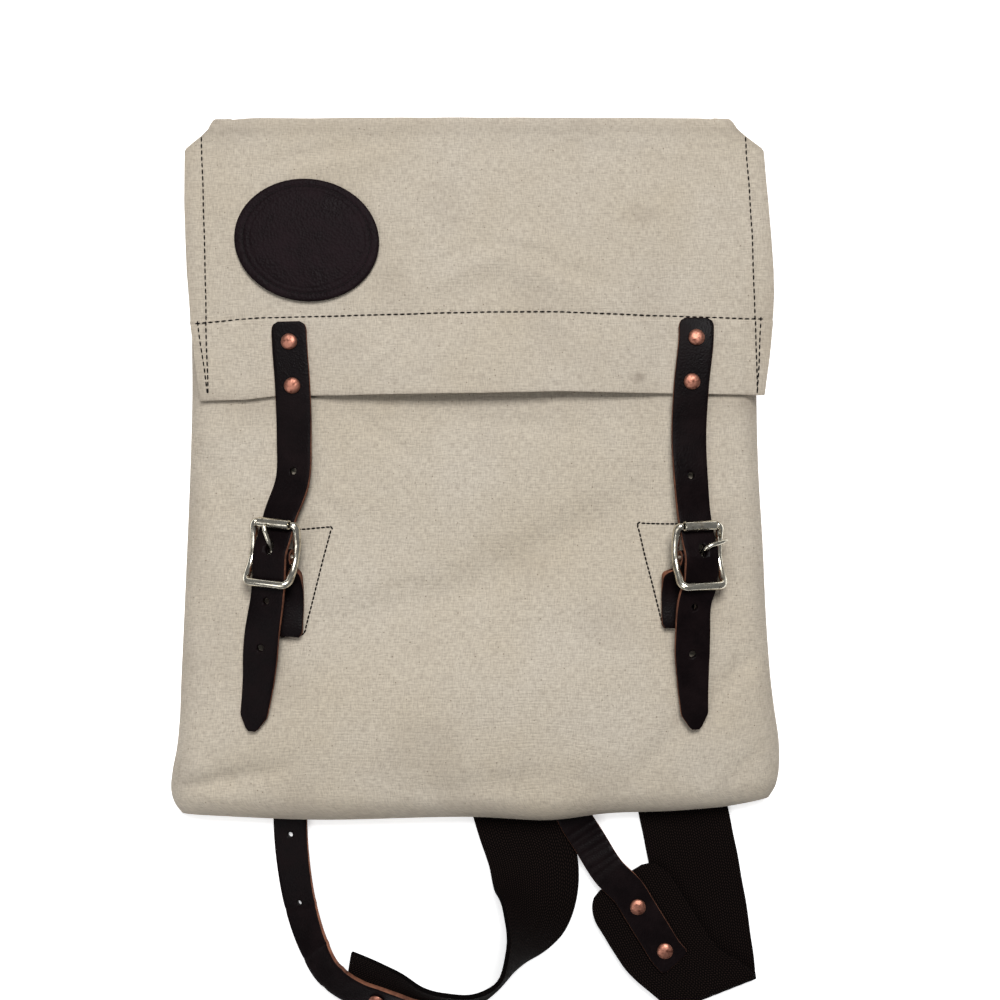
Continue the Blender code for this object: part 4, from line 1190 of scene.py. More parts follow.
@dataclass
class CanvasBag:
    """The bag itself: a hollow shell of one cloth, open at its mouth."""

    form: BagForm
    finishes: Finishes
    columns: int = 96
    rows: int = 128
    flat: tuple = (0.69, 0.40)

    def build(self) -> None:
        """Makes the shell and its sewn lines."""
        turns = np.radians(np.linspace(0, 90, 9))
        corner = 1 - self.form.side_round * (1 - np.cos(turns)) / 160
        middle = np.linspace(corner[-1], -corner[-1], self.columns)[1:-1]
        over = np.concatenate([corner, middle, -corner[::-1]])
        ends = self.form.end + self.form.end_round * (1 - np.cos(np.radians(np.linspace(16, 90, 9))))
        along = np.concatenate([ends, np.linspace(ends[-1], self.form.mouth, self.rows)[1:]])
        v = along[:, None]
        top = self.form.point(over[None, :], v, True)
        back = self.form.point(over[None, 1:-1][:, ::-1], v, False)
        piece = grid_piece("canvas_bag", np.concatenate([top, back], axis=1), ring=True)
        self.close_end(piece, len(over), top.shape[1] + back.shape[1])
        self.soil_and_shade(piece)
        dress(piece, self.finishes.canvas, self.finishes.canvas)
        thicken(piece, CANVAS, -1.0, 0.0)
        hand_over(piece, ["bag_body"])
        self.sew()

    def close_end(self, piece: Piece, front: int, around: int) -> None:
        """Joins the front and the back along the bottom end."""
        bm = bmesh.new()
        bm.from_mesh(piece.data)
        bm.verts.ensure_lookup_table()
        layer = bm.loops.layers.uv["Cloth"]
        for k in range(front - 1):
            loop = [k, k + 1, (around - k - 1) % around, (around - k) % around]
            corners = list(dict.fromkeys(loop))
            face = bm.faces.new([bm.verts[i] for i in corners])
            face.smooth = True
            for corner in face.loops:
                corner[layer].uv = (corner.vert.co.x, corner.vert.co.z - 0.02)
        bm.to_mesh(piece.data)
        bm.free()

    def soil_and_shade(self, piece: Piece) -> None:
        """Marks where the cloth is greyer: darker towards its edges and bottom end, in a few rubbed places,
        and in a painted shadow just below the flap's hem.
        """
        x, y, _ = on_plan([v.co for v in piece.data.vertices]).T
        left, right = self.form.sides(np.clip(y, self.form.end, self.form.mouth))
        margin = np.minimum(np.minimum(x - left, right - x), y - self.form.end)
        patchy = 0.5 + ripple(x, y, 22.0, 7.7)
        # darker within 40 mm of the sides and the bottom end
        grey = 0.24 * fade(margin, 16.0, 0.0) + 0.16 * fade(margin, 40.0, 4.0) * patchy
        grey = grey + 0.13 * fade(ripple(x, y, 34.0, 3.3), 0.15, 0.6)
        # painted shadow: the front is darkened just below the flap's raised hem
        grey = grey + 0.2 * fade(y, 20.0, 44.0)
        attribute(piece, "soil_and_shade", np.clip(grey, 0.0, 0.8))

    def sew(self) -> None:
        """The stitching of the patches that carry the buckles, in black on the front."""
        left = [(-101.5, -34.5), (-78.3, -32.8), (-93.0, -91.2), (-104.6, -92.6)]
        right = [(110.5, -31.2), (88.5, -30.7), (102.7, -87.4), (114.0, -88.0)]
        rows = [sewn_row(self.form.front_surface, corners) for corners in (left, right)]
        Stitching(self.finishes, 2.6, 2.5, 1.0).sew("stitches_on_front", rows)


@dataclass
class CanvasFlap:
    """The lid flap: over the mouth, down the front, and turned up in a wide hem."""

    form: BagForm
    finishes: Finishes
    columns: int = 150
    crowding: float = 1.15
    fold_y: float = 187.0
    fold_depth: float = 6.0
    flat: tuple = (0.322, 0.205)

    def fold(self, u: Array) -> Array:
        """Rows of points round the fold over the bag's mouth, at the shares u of its half width."""
        form = self.form
        turns = np.radians(np.concatenate([[0], np.linspace(0, 180, 15)]))
        ys = self.fold_y + self.fold_depth * np.sin(turns)
        ys[0] = form.mouth + GAP
        rows = []
        for turn, y in zip(turns, ys):
            left, right = flap_sides(max(y, self.fold_y))
            x = (left + right) / 2 + u * (right - left) / 2
            low = form.under(x, np.full_like(x, form.mouth)) + CANVAS
            high = form.flap_inner(x, np.full_like(x, self.fold_y))
            rolled = y + 0.35 * ripple(x, x * 0, 26.0, 1.9) * math.sin(turn)
            rows.append(np.stack([x, rolled, low + (high - low) * (1 - math.cos(turn)) / 2], axis=-1))
        return np.array(rows)

    def build(self) -> None:
        """Makes the flap and its sewn lines."""
        form = self.form
        u = np.linspace(-1, 1, self.columns)
        u = np.sign(u) * (1 - (1 - abs(u)) ** self.crowding)
        # first and last y, rows, and rows to skip, of the stretches down the front: closer at the stitching
        spans = [(self.fold_y - 1.0, 82.5, 62, 0), (82.0, 78.0, 9, 1), (78.0, form.flap_end, 24, 1)]
        down = [np.linspace(start, end, rows)[skip:] for start, end, rows, skip in spans]
        y = np.concatenate(down)[:, None]
        left, right = flap_sides(y)
        x = (left + right) / 2 + u[None, :] * (right - left) / 2
        y = y + (np.interp(x, HEM_EDGE[:, 0], HEM_EDGE[:, 1]) - form.flap_end) * fade(y, 84, form.flap_end)
        z = form.flap_inner(x, y) + form.flap_relief(x, y) - self.pucker(x, y)
        grid = np.concatenate([self.fold(u), np.stack([x, y, z], axis=-1)])
        piece = grid_piece("canvas_flap", grid)
        weight(piece, "thick", form.flap_wall(grid[..., 0], grid[..., 1]))
        self.soil_and_shade(piece)
        dress(piece, self.finishes.canvas, self.finishes.canvas)
        thicken(piece, HEM, 1.0, 0.55, "thick", CANVAS / HEM)
        hand_over(piece, ["lid_flap"])
        self.sew()

    def pucker(self, x: Array, y: Array) -> Array:
        """The groove that each line of stitches pulls into the cloth, with its small gathers."""
        wave = math.tau / 7.2
        groove = 0.45 * bell(y - self.hem_y(x), 1.6) * (1 + 0.35 * np.sin(x * wave))
        for line in self.side_lines(y):
            groove = groove + 0.35 * bell(x - line, 1.6) * fade(y, 40, 60) * (1 + 0.35 * np.sin(y * wave))
        gathers = 0.16 * bell(y - self.hem_y(x), 7.0) * ripple(x, y * 0.4, 6.0, 2.4)
        return groove * self.form.clear_of_straps(x, y) + gathers

    def hem_y(self, x: Array) -> Array:
        """The y of the hem's stitching."""
        xs = [-151.7, -117.3, -40.9, 2.8, 46.4, 90.1, 156.2]
        return np.interp(x, xs, [78.5, 81.5, 83.1, 84.2, 84.5, 82.9, 81.0])

    def side_lines(self, y: Array) -> tuple[Array, Array]:
        """The x of the stitching down each side."""
        left = np.interp(y, [41, 81, 130, 181], [-145.7, -147.2, -148.6, -151.2])
        right = np.interp(y, [42, 81, 130, 181], [154.2, 153.4, 152.0, 149.3])
        return left, right

    def soil_and_shade(self, piece: Piece) -> None:
        """Marks the greyer cloth: an even painted shade over the whole flap, its edges and the hem's edge,
        the fold, and the spots that wear has left.
        """
        x, y, _ = on_plan([v.co for v in piece.data.vertices]).T
        left, right = flap_sides(y)
        margin = np.minimum(np.minimum(x - left, right - x), y - 36.0)
        # the 0.09 all over is painted shade, so that the flap, which faces the lamp more than the front, is
        # not lighter than it
        grey = 0.09 + 0.2 * fade(margin, 8.0, 0.0) + 0.2 * fade(y, 180.0, 190.0)
        grey = grey + 0.12 * fade(ripple(x + 300, y, 34.0, 3.3), 0.15, 0.6)
        spot = np.hypot((x - 88.0) / 5.0, (y - 48.5) / 3.4) + 0.5 * ripple(x, y, 3.0, 1.1)
        faint = np.hypot((x - 92.0) / 10.0, (y - 138.0) / 6.0) + 0.6 * ripple(x, y, 5.0, 6.1)
        grey = grey + 0.5 * fade(spot, 1.2, 0.3) + 0.22 * fade(faint, 1.3, 0.2)
        attribute(piece, "soil_and_shade", np.clip(grey, 0.0, 0.8))

    def sew(self) -> None:
        """The black stitching: the hem, both sides, and the two long triangles at the hem's ends."""
        across = np.linspace(-151.7, 156.2, 60)
        hem = list(zip(across, self.hem_y(across)))
        down = np.linspace(181.0, 41.5, 40)
        left, right = self.side_lines(down)
        surface = self.form.flap_surface
        rows = [
            sewn_row(surface, hem),
            sewn_row(surface, list(zip(left, down))),
            sewn_row(surface, list(zip(right, down))),
            sewn_row(surface, [(-151.7, 78.5), (-146.2, 41.5)]),
            sewn_row(surface, [(156.4, 80.8), (154.4, 42.5)]),
        ]
        Stitching(self.finishes).sew("stitches_on_flap", rows)


@dataclass
class OvalPatch:
    """The leather oval on the flap, with a sunk row of stitches and one tooled line inside it."""

    form: BagForm
    finishes: Finishes
    x: float = PATCH_CENTRE[0]
    y: float = PATCH_CENTRE[1]
    long: float = 79.0
    short: float = 67.0
    turn: float = -8.0
    thickness: float = 3.0
    stitch_at: float = 0.885
    stitch_depth: float = 0.45
    line_at: float = 0.80
    line_depth: float = 0.28
    around: int = 120

    def place(self, share: Array, angle: Array) -> tuple[Array, Array]:
        """The plan's place of points at a share of the oval's radius."""
        turn = math.radians(self.turn)
        a, b = share * self.long / 2 * np.cos(angle), share * self.short / 2 * np.sin(angle)
        x = self.x + a * math.cos(turn) - b * math.sin(turn)
        y = self.y + a * math.sin(turn) + b * math.cos(turn)
        return x, y

    def top(self, x: Array, y: Array) -> Array:
        """Height of the leather's outside."""
        return self.form.flap_inner(x, y) + CANVAS + GAP + self.thickness

    def build(self) -> None:
        """Makes the leather and its thread."""
        # rings from the middle out, closer at the tooled line and the stitches
        shares = [0.02, 0.2, 0.4, 0.58, 0.70, 0.76, 0.785, 0.80, 0.815, 0.84, 0.865, 0.885, 0.905, 0.93]
        shares += [0.965, 1.0]
        angle = np.linspace(0, math.tau, self.around, endpoint=False)
        share, turn = np.meshgrid(shares, angle, indexing="ij")
        x, y = self.place(share, turn)
        stitched = self.stitch_depth * bell(share - self.stitch_at, 0.018)
        sunk = stitched + self.line_depth * bell(share - self.line_at, 0.011)
        worn = 0.14 * ripple(x, y, 9.0, 5.5) + 0.5 * fade(share, 0.95, 1.0)
        high = self.top(x, y) - sunk - worn * 0.6
        low = self.top(x, y) - self.thickness
        top = np.stack([x, y, high], axis=-1)
        base = np.stack([x[::-1], y[::-1], low[::-1]], axis=-1)
        drops = [high[-1] + (low[-1] - high[-1]) * part for part in (0.15, 0.5, 0.85)]
        side = np.stack([np.stack([x[-1], y[-1], drop], axis=-1) for drop in drops])
        side[:, :, :2] += (side[:, :, :2] - (self.x, self.y)) * 0.006
        grid = np.concatenate([top, side, base])
        piece = grid_piece("patch_leather", grid, ring=True)
        bm = bmesh.new()
        bm.from_mesh(piece.data)
        bm.verts.ensure_lookup_table()
        bm.faces.new([bm.verts[k] for k in range(self.around)])
        bm.faces.new([bm.verts[len(bm.verts) - 1 - k] for k in range(self.around)])
        bmesh.ops.recalc_face_normals(bm, faces=bm.faces)
        bm.faces.ensure_lookup_table()
        for face in bm.faces:
            face.smooth = True
            face.material_index = 0 if abs(face.normal.z) > 0.6 else 1
        bm.to_mesh(piece.data)
        bm.free()
        dress(piece, self.finishes.patch, self.finishes.edge)
        hand_over(piece, ["oval_patch"])
        ring = [self.place(self.stitch_at, turn) for turn in np.linspace(0, math.tau, 90, endpoint=False)]
        row = sewn_row(lambda a, b: self.top(a, b) - self.stitch_depth, ring, closed=True)
        Stitching(self.finishes, 2.6, 2.1, 0.7).sew("stitches_on_patch", [row])


# Straps


@dataclass(frozen=True)
class Station:
    """A place along a strap: its middle, the way across it, and its outside."""

    centre: Array
    across: Array
    normal: Array

    def matrix(self) -> Matrix:
        """The placing matrix with its Z out of the strap."""
        way = np.cross(self.normal, self.across)
        rows = [[self.across[i], way[i], self.normal[i], self.centre[i]] for i in range(3)]
        return Matrix(rows + [[0, 0, 0, 1]])


def even_rows(places: Array, spacing: float) -> Array:
    """Rows of x, y, z and roll at an even spacing along the smooth line through the given ones."""
    places = np.asarray(places, float)
    run = distances(places[:, :3])
    at = np.linspace(0, run[-1], max(round(run[-1] / spacing), 2) + 1)
    return np.stack([smooth(run, places[:, k], at) for k in range(4)], axis=1)


def stations(rows: Array) -> list[Station]:
    """A station at each row: across points to the right of the way the strap runs, turned up by the roll."""
    made = []
    for i, (x, y, z, roll) in enumerate(rows):
        way = rows[min(i + 1, len(rows) - 1)][:3] - rows[max(i - 1, 0)][:3]
        way = way / np.linalg.norm(way)
        level = np.cross(way, (0, 0, 1))
        level /= np.linalg.norm(level)
        across = np.array(Matrix.Rotation(-math.radians(roll), 3, Vector(way)) @ Vector(level))
        normal = np.cross(across, way)
        made.append(Station(np.array((x, y, z)), across, normal / np.linalg.norm(normal)))
    return made


def lying(roll: float, lift: float, width: float, thickness: float) -> float:
    """Centre height of a rolled strap whose lower edge is at a lift over the surface."""
    turn = math.radians(abs(roll))
    return lift + width / 2 * math.sin(turn) + thickness / 2 * math.cos(turn)


def nearest(line: list[Station], y: float) -> Station:
    """The station nearest to a y."""
    return min(line, key=lambda station: abs(station.centre[1] - y))


def run_of(line: list[Station]) -> Array:
    """Distance of each station from the first."""
    return distances(np.array([station.centre for station in line]))


def from_end(line: list[Station], distance: float) -> Station:
    """The station at a distance back from a strap's last one."""
    run = run_of(line)
    return line[int(np.argmin(abs(run[-1] - run - distance)))]


def rivet_spots(riveted: list[Station]) -> Spots:
    """The points under the heads of rivets through a leather strap, and their facings."""
    lift = STRAP_THICK / 2 + GAP
    return [(station.centre + station.normal * lift, station.normal) for station in riveted]


def strap_grid(line: list[Station], widths: Array, columns: int, swell: Array | None = None) -> Array:
    """Points across a strap at each of its stations, raised by swell if it is given."""
    shares = np.linspace(-1, 1, columns + 1)
    rows = []
    for i, station in enumerate(line):
        row = station.centre + np.outer(shares * widths[i] / 2, station.across)
        rows.append(row if swell is None else row + swell[i] * station.normal)
    return np.array(rows)


@dataclass(frozen=True)
class ClosurePlan:
    """Where one closure's parts are, on the plan or in the buckle's own plane."""

    above: list  # x, y, roll and lift of the strap above the buckle
    below: list  # the same below it
    rivets: tuple  # y of each
    holes: tuple  # y of each
    buckle: tuple  # x, y, yaw, pitch, roll
    drift: float  # the strap's way aside in the buckle
    chape: tuple  # x and lower end of the doubled leather
    slot: tuple  # x and y of the hole that the prong goes through
    prong: list  # x, y, z along the prong's tongue


CLOSURES = {
    Side.LEFT: ClosurePlan(
        above=[
            (-101.2, 79, 0, 0),
            (-101, 72, 0, 0),
            (-99, 44, 0, 0),
            (-98.2, 16, -6, 1),
            (-98.9, -8, -12, 1),
        ],
        below=[(-114.4, -90, -6, 6), (-117.2, -118, -3, 1.6), (-121.0, -143.5, -2, 0.6)],
        rivets=(68.6, 44.5),
        holes=(-2.1, -72.5, -97.8),
        buckle=(-108.3, -47.7, -7.5, -7.0, -16.0),
        drift=0.0,
        chape=(-102.3, -92.0),
        slot=(-0.4, 2.8),
        prong=[
            (0, 2.2, 3.9),
            (-0.4, 4.2, 5.6),
            (-1, 6.2, 7.6),
            (-2, 8.8, 8.9),
            (-3.2, 11.6, 9.6),
            (-4.2, 14, 9.8),
        ],
    ),
    Side.RIGHT: ClosurePlan(
        above=[
            (120.6, 81, 0, 0.8),
            (120.4, 72, 0, 0.8),
            (117.6, 44, 0, 0.8),
            (116.4, 16, 6, 1),
            (117.4, -8, 12, 1),
        ],
        below=[(117.6, -92, 6, 5), (118.2, -120, 3, 1.6), (119.8, -142.5, 2, 0.6)],
        rivets=(69.7, 46.4),
        holes=(-4.0, -76.0, -100.5),
        buckle=(120.4, -48.9, 3.5, -6.0, 16.0),
        drift=-2.8,
        chape=(110.5, -87.5),
        slot=(0.8, 2.9),
        prong=[
            (0.4, 1.6, 4),
            (1.2, 3, 6),
            (2.4, 4.2, 8.4),
            (5.4, 5.6, 9.4),
            (9.2, 6.4, 9.2),
            (12.4, 7.2, 8.4),
            (14.4, 7.8, 7.4),
        ],
    ),
}
# y and z of the strap in the buckle, and its share of the drift aside
OVER_BAR = 6.15
WEAVE = [
    (20.5, 0.3, 0),
    (15.0, 1.55, 0),
    (8, 3.7, 0),
    (0, OVER_BAR, 0),
    (-8, 4.1, 0),
    (-15.4, 2.1, 0.2),
    (-21, 1.0, 1.0),
]
# y, middle and rise of the chape's layers, and their shares of the way aside and of the roll
CHAPE_LAYERS = [(0, 0, 3.1, 0, 1), (-4, -2.4, 1.8, 0.04, 1), (-8.5, -3.8, 1.15, 0.96, 0.8)]


@dataclass
class Closure:
    """One closure: a riveted strap through a roller buckle, held by doubled leather."""

    side: Side
    form: BagForm
    finishes: Finishes
    above_bag: float = 7.2
    half_width: float = 12.6
    half_length: float = 16.3
    arch: float = 6.0
    rod: float = 2.2
    top_bar: float = 1.5
    centre_bar: float = 1.9
    prong_rod: float = 1.2
    roller: float = 2.75
    roller_length: float = 18.4
    chape_width: float = 18.4
    chape_thick: float = 1.8
    chape_flat: float = 14.5
    chape_lift: float = 1.1
    hole: float = 1.9
    slot: float = 2.2
    slot_stretch: float = 1.77
    shoulder: float = 2.4
    foot: float = 3.4

    def __post_init__(self) -> None:
        """Reads this side's plan, and places the buckle on the bag."""
        self.plan = CLOSURES[self.side]
        x, y, yaw, pitch, roll = self.plan.buckle
        z = float(self.form.front(np.array(x), np.array(y))) + self.above_bag
        turned = Matrix.Rotation(math.radians(yaw), 4, "Z") @ Matrix.Rotation(math.radians(pitch), 4, "X")
        self.place = Matrix.Translation((x, y, z)) @ turned @ Matrix.Rotation(math.radians(roll), 4, "Y")
        self.roll = roll

    def at(self, x: float, y: float, z: float) -> Array:
        """A point of the buckle's own plane on the plan."""
        return np.array(self.place @ Vector((x, y, z)))

    def line(self) -> list[Station]:
        """The strap's stations, from its riveted top to its point."""
        form, plan = self.form, self.plan
        rows = []
        for x, y, roll, lift in plan.above + plan.below:
            at = np.array(x, float), np.array(y, float)
            if y > form.flap_end:
                carried = float(form.flap_inner(*at)) + (HEM if y < form.hem_line else CANVAS)
            else:
                carried = float(form.front(*at))
            rows.append((x, y, carried + 2 * GAP + lying(roll, lift, STRAP_WIDTH, STRAP_THICK), roll))
        woven = [(*self.at(plan.drift * share, y, z), self.roll) for y, z, share in WEAVE]
        above = len(plan.above)
        return stations(even_rows(np.array(rows[:above] + woven + rows[above:]), 1.6))

    def build(self) -> Spots:
        """Makes the closure's pieces, and returns where its rivets go."""
        line = self.line()
        run = run_of(line)
        top = np.minimum(0.62 + 0.38 * rounded(run, 5.0), 1.0)
        point = np.interp(run[-1] - run, (0.0, 0.9, 8.5, 42.0), (3.6, 6.2, 14.8, STRAP_WIDTH))
        widths = np.minimum(STRAP_WIDTH * top, point)
        piece = grid_piece(f"strap_leather_{self.side.value}", strap_grid(line, widths, 8))
        dress(piece, self.finishes.leather, self.finishes.edge)
        thicken(piece, STRAP_THICK, 0.0, 0.42)
        cut(piece, [nearest(line, y).matrix() for y in self.plan.holes], self.hole)
        slot = self.place @ Matrix.Translation((*self.plan.slot, OVER_BAR))
        cut(piece, [slot @ Matrix.Diagonal((1.0, self.slot_stretch, 1.0, 1.0))], self.slot)
        hand_over(piece, [f"closure_strap_{self.side.value}"])
        self.buckle()
        self.chape()
        return rivet_spots([nearest(line, y) for y in self.plan.rivets])

    def outline(self) -> Array:
        """The frame's middle line: square shoulders at the roller, rounder feet, and ends that arch up."""
        points = []
        top, low = self.shoulder, self.foot
        corners = ((1, 1, 0, top), (-1, 1, 90, top), (-1, -1, 180, low), (1, -1, 270, low))
        for cx, cy, start, radius in corners:
            for k in range(7):
                turn = math.radians(start + 15 * k)
                x = cx * (self.half_width - radius) + radius * math.cos(turn)
                y = cy * (self.half_length - radius) + radius * math.sin(turn)
                points.append((x, y))
            if cx != cy:
                shares = (0.7, 0.45, 0.22, 0.0, -0.22, -0.42)
                points += [(cx * self.half_width, cy * share * self.half_length) for share in shares]
        flat = np.array(points)
        return np.column_stack([flat, self.arch * (flat[:, 1] / self.half_length) ** 2])

    def nickel(self, kind: str, node: str, skins: list[tuple[Array, list]]) -> None:
        """Makes one nickel piece of the buckle."""
        piece = solid_piece(f"{kind}_nickel_{self.side.value}", skins)
        dress(piece, self.finishes.nickel)
        hand_over(piece, [f"buckle_{node}_{self.side.value}"])

    def buckle(self) -> None:
        """Frame with its centre bar, roller and prong, all nickel."""
        corner = 7  # points of the outline before the top bar
        neck = self.half_width - self.shoulder - GAP
        bar = np.array([(x, self.half_length, self.arch) for x in (neck, neck * 0.4, -neck * 0.4, -neck)])
        line = self.outline()
        line = np.concatenate([line[:corner], bar, line[corner:]])
        radii = np.full(len(line), self.rod)
        radii[corner : corner + len(bar)] = self.top_bar
        waist = 1 - 0.10 * bell(line[:, 1], 3.5) * (abs(line[:, 0]) > 10)
        world = np.array([self.at(*point) for point in line])
        ends = np.array([self.at(x, 0, 0) for x in np.linspace(-self.half_width, self.half_width, 5)])
        skins = [tube(world, radii * waist, 16, closed=True), tube(ends, self.centre_bar, 14)]
        self.nickel("buckle", "frame", skins)
        self.make_roller()
        eye = self.centre_bar + GAP + self.prong_rod
        loop = [(0, eye * math.cos(t), eye * math.sin(t)) for t in np.radians(np.arange(360, 80, -15))]
        tongue = np.array(self.plan.prong, float)
        run = distances(tongue)
        fine = np.linspace(0, run[-1], 26)
        tongue = np.stack([smooth(run, tongue[:, k], fine) for k in range(3)], axis=1)
        points = np.array([self.at(*point) for point in loop + tongue.tolist()])
        radii = np.full(len(points), self.prong_rod)
        radii[-4:] *= (0.98, 0.94, 0.88, 0.8)
        self.nickel("prong", "prong", [tube(points, radii, 12)])

    def make_roller(self) -> None:
        """The tube that turns on the frame's top bar."""
        shift = -0.5 if self.side is Side.LEFT else 0.5
        inner, outer, half = self.top_bar + GAP, self.roller, self.roller_length / 2
        # x and radius round the tube's wall
        profile = [
            (-half + 0.4, outer),
            (half - 0.4, outer),
            (half, outer - 0.35),
            (half, inner),
            (-half, inner),
            (-half, outer - 0.35),
        ]
        sides = 28
        points = []
        for x, radius in profile:
            for turn in np.arange(sides) * math.tau / sides:
                y, z = self.half_length + radius * math.cos(turn), self.arch + radius * math.sin(turn)
                points.append(self.at(x + shift, y, z))
        skin = np.array(points), skin_faces(len(profile), sides, True)
        piece = solid_piece(f"roller_nickel_{self.side.value}", [skin])
        bm = bmesh.new()
        bm.from_mesh(piece.data)
        for sharp in bm.edges:
            sharp.smooth = sharp.calc_face_angle(0.0) < math.radians(40)
        bm.to_mesh(piece.data)
        bm.free()
        dress(piece, self.finishes.nickel)
        hand_over(piece, [f"buckle_roller_{self.side.value}"])

    def chape(self) -> None:
        """Leather doubled round the centre bar, its two layers flat on the bag lower down."""
        chape_x, chape_end = self.plan.chape
        bar_x, bar_y = self.plan.buckle[:2]
        slack = self.half_width - self.rod - GAP - self.chape_width / 2
        start = math.copysign(slack, chape_x - bar_x)
        aside = chape_x - bar_x - start
        rows = []
        for y, middle, _, share, turn in CHAPE_LAYERS:
            rows.append((*self.at(start + aside * share, y, middle), self.roll * turn))
        closed = self.chape_thick / 2 + 0.2
        inner = np.array(chape_x - math.copysign(self.chape_width / 2, chape_x))
        for y, lift, turn in ((bar_y - self.chape_flat, self.chape_lift, 0.15), (chape_end, 0.0, 0.0)):
            rest = float(self.form.front(inner, np.array(y))) + 2 * GAP + closed + self.chape_thick / 2
            rows.append((chape_x, y, rest + lift, self.roll * turn))
        places = np.array(rows, float)
        knots = distances(places[:, :3])
        line = stations(even_rows(places, 2.2))
        run = np.linspace(0, knots[-1], len(line))
        rises = np.interp(run, knots, [layer[2] for layer in CHAPE_LAYERS] + [closed] * 2)
        half = self.chape_width / 2
        bar_way = self.at(1.0, 0.0, 0.0) - self.at(0.0, 0.0, 0.0)
        shares = np.linspace(1, -1, 9)
        upper, lower = [], []
        for station, rise, to_end in zip(line, rises, run[-1] - run):
            narrow = 0.80 + 0.20 * rounded(to_end, 4.0)
            # across it the leather keeps the bar's way on the plan, so that its outer edge stays straight
            facing = math.copysign(1.0, float(np.dot(station.across, bar_way)))
            slope = station.across[2] / math.hypot(station.across[0], station.across[1])
            span = np.outer(shares * half * narrow, (bar_way[0] * facing, bar_way[1] * facing, slope))
            upper.append(station.centre + station.normal * rise + span)
            lower.append(station.centre - station.normal * rise + span)
        wrap = CHAPE_LAYERS[0][2]
        bend = []
        for turn in np.radians(np.arange(75, -76, -15)):
            y, z = wrap * math.cos(turn), wrap * math.sin(turn)
            bend.append([self.at(start - half * share, y, z) for share in shares])
        grid = np.array(upper[::-1] + bend + lower)
        piece = grid_piece(f"chape_leather_{self.side.value}", grid)
        dress(piece, self.finishes.leather, self.finishes.edge)
        thicken(piece, self.chape_thick, 0.0, 0.35)
        cut(piece, [self.place @ Matrix.Translation((0, 0.5, 0))], (4.4, 13.0), depth=13.0)
        hand_over(piece, [f"buckle_chape_{self.side.value}"])


# x, y, roll, lift along the middle of each webbing and billet
WEB_LEFT = [
    (-40, 170, 0, 0),
    (-38, 150, 0, 0),
    (-32, 110, 0, 0),
    (-18, 20, 0, 0),
    (-4, -70, 0, 0),
    (8, -140, 0, 0),
    (17.5, -172, 0, 0.3),
    (25, -198, 0.5, 0.5),
    (33, -224, 7, 0.5),
    (33.5, -240, 24, 0.3),
    (30.5, -254, 46, 0.8),
    (25.5, -266, 64, 1.0),
    (18, -278, 75, 1.0),
    (6, -288, 70, 1.0),
    (-10, -294, 59, 0.6),
    (-29, -297, 45, 0.3),
    (-49, -294, 34, 0),
    (-72, -288.5, 26, 0),
]
WEB_RIGHT = [
    (44, 170, 0, 0),
    (48, 150, 0, 0),
    (57, 100, 0, 0),
    (84, -34, 0, 0),
    (104, -130, 0, 0),
    (117, -192, 0, 0),
    (126, -238, 0, 0),
    (131, -270, 0, 0),
    (134.5, -300, 0, 0),
    (143.4, -380, 0, 0),
]
BILLETS = {
    Side.LEFT: [
        (-103, -119, 0, 3.0),
        (-103, -137, 0, 3.0),
        (-103, -143.5, 0, 0.9),
        (-103, -148, 0, 0.2),
        (-103, -152.5, 0, 0.9),
        (-103.1, -159, 0, 3.1),
        (-103.5, -176, 0, 1.0),
        (-104.6, -197, -3, 0.2),
        (-102.8, -222, -10, 0.2),
        (-98.4, -246, -17, 0.6),
        (-91.0, -266, -23, 4.0),
        (-81.5, -280, -26, 10.2),
    ],
    Side.RIGHT: [
        (71.2, -117.5, 0, 3.1),
        (62.2, -132.6, 0, 3.1),
        (58.9, -138.3, 0, 0.9),
        (56.6, -142.2, 0, 0.2),
        (54.4, -146.1, 0, 0.9),
        (51.2, -151.8, 0, 3.5),
        (48.2, -164.0, 0, 2.9),
        (48.6, -178.0, 0, 2.9),
        (55.0, -195.5, 0, 3.2),
        (64.6, -211.0, 0, 4.4),
        (74.0, -225.5, 0, 7.4),
    ],
}


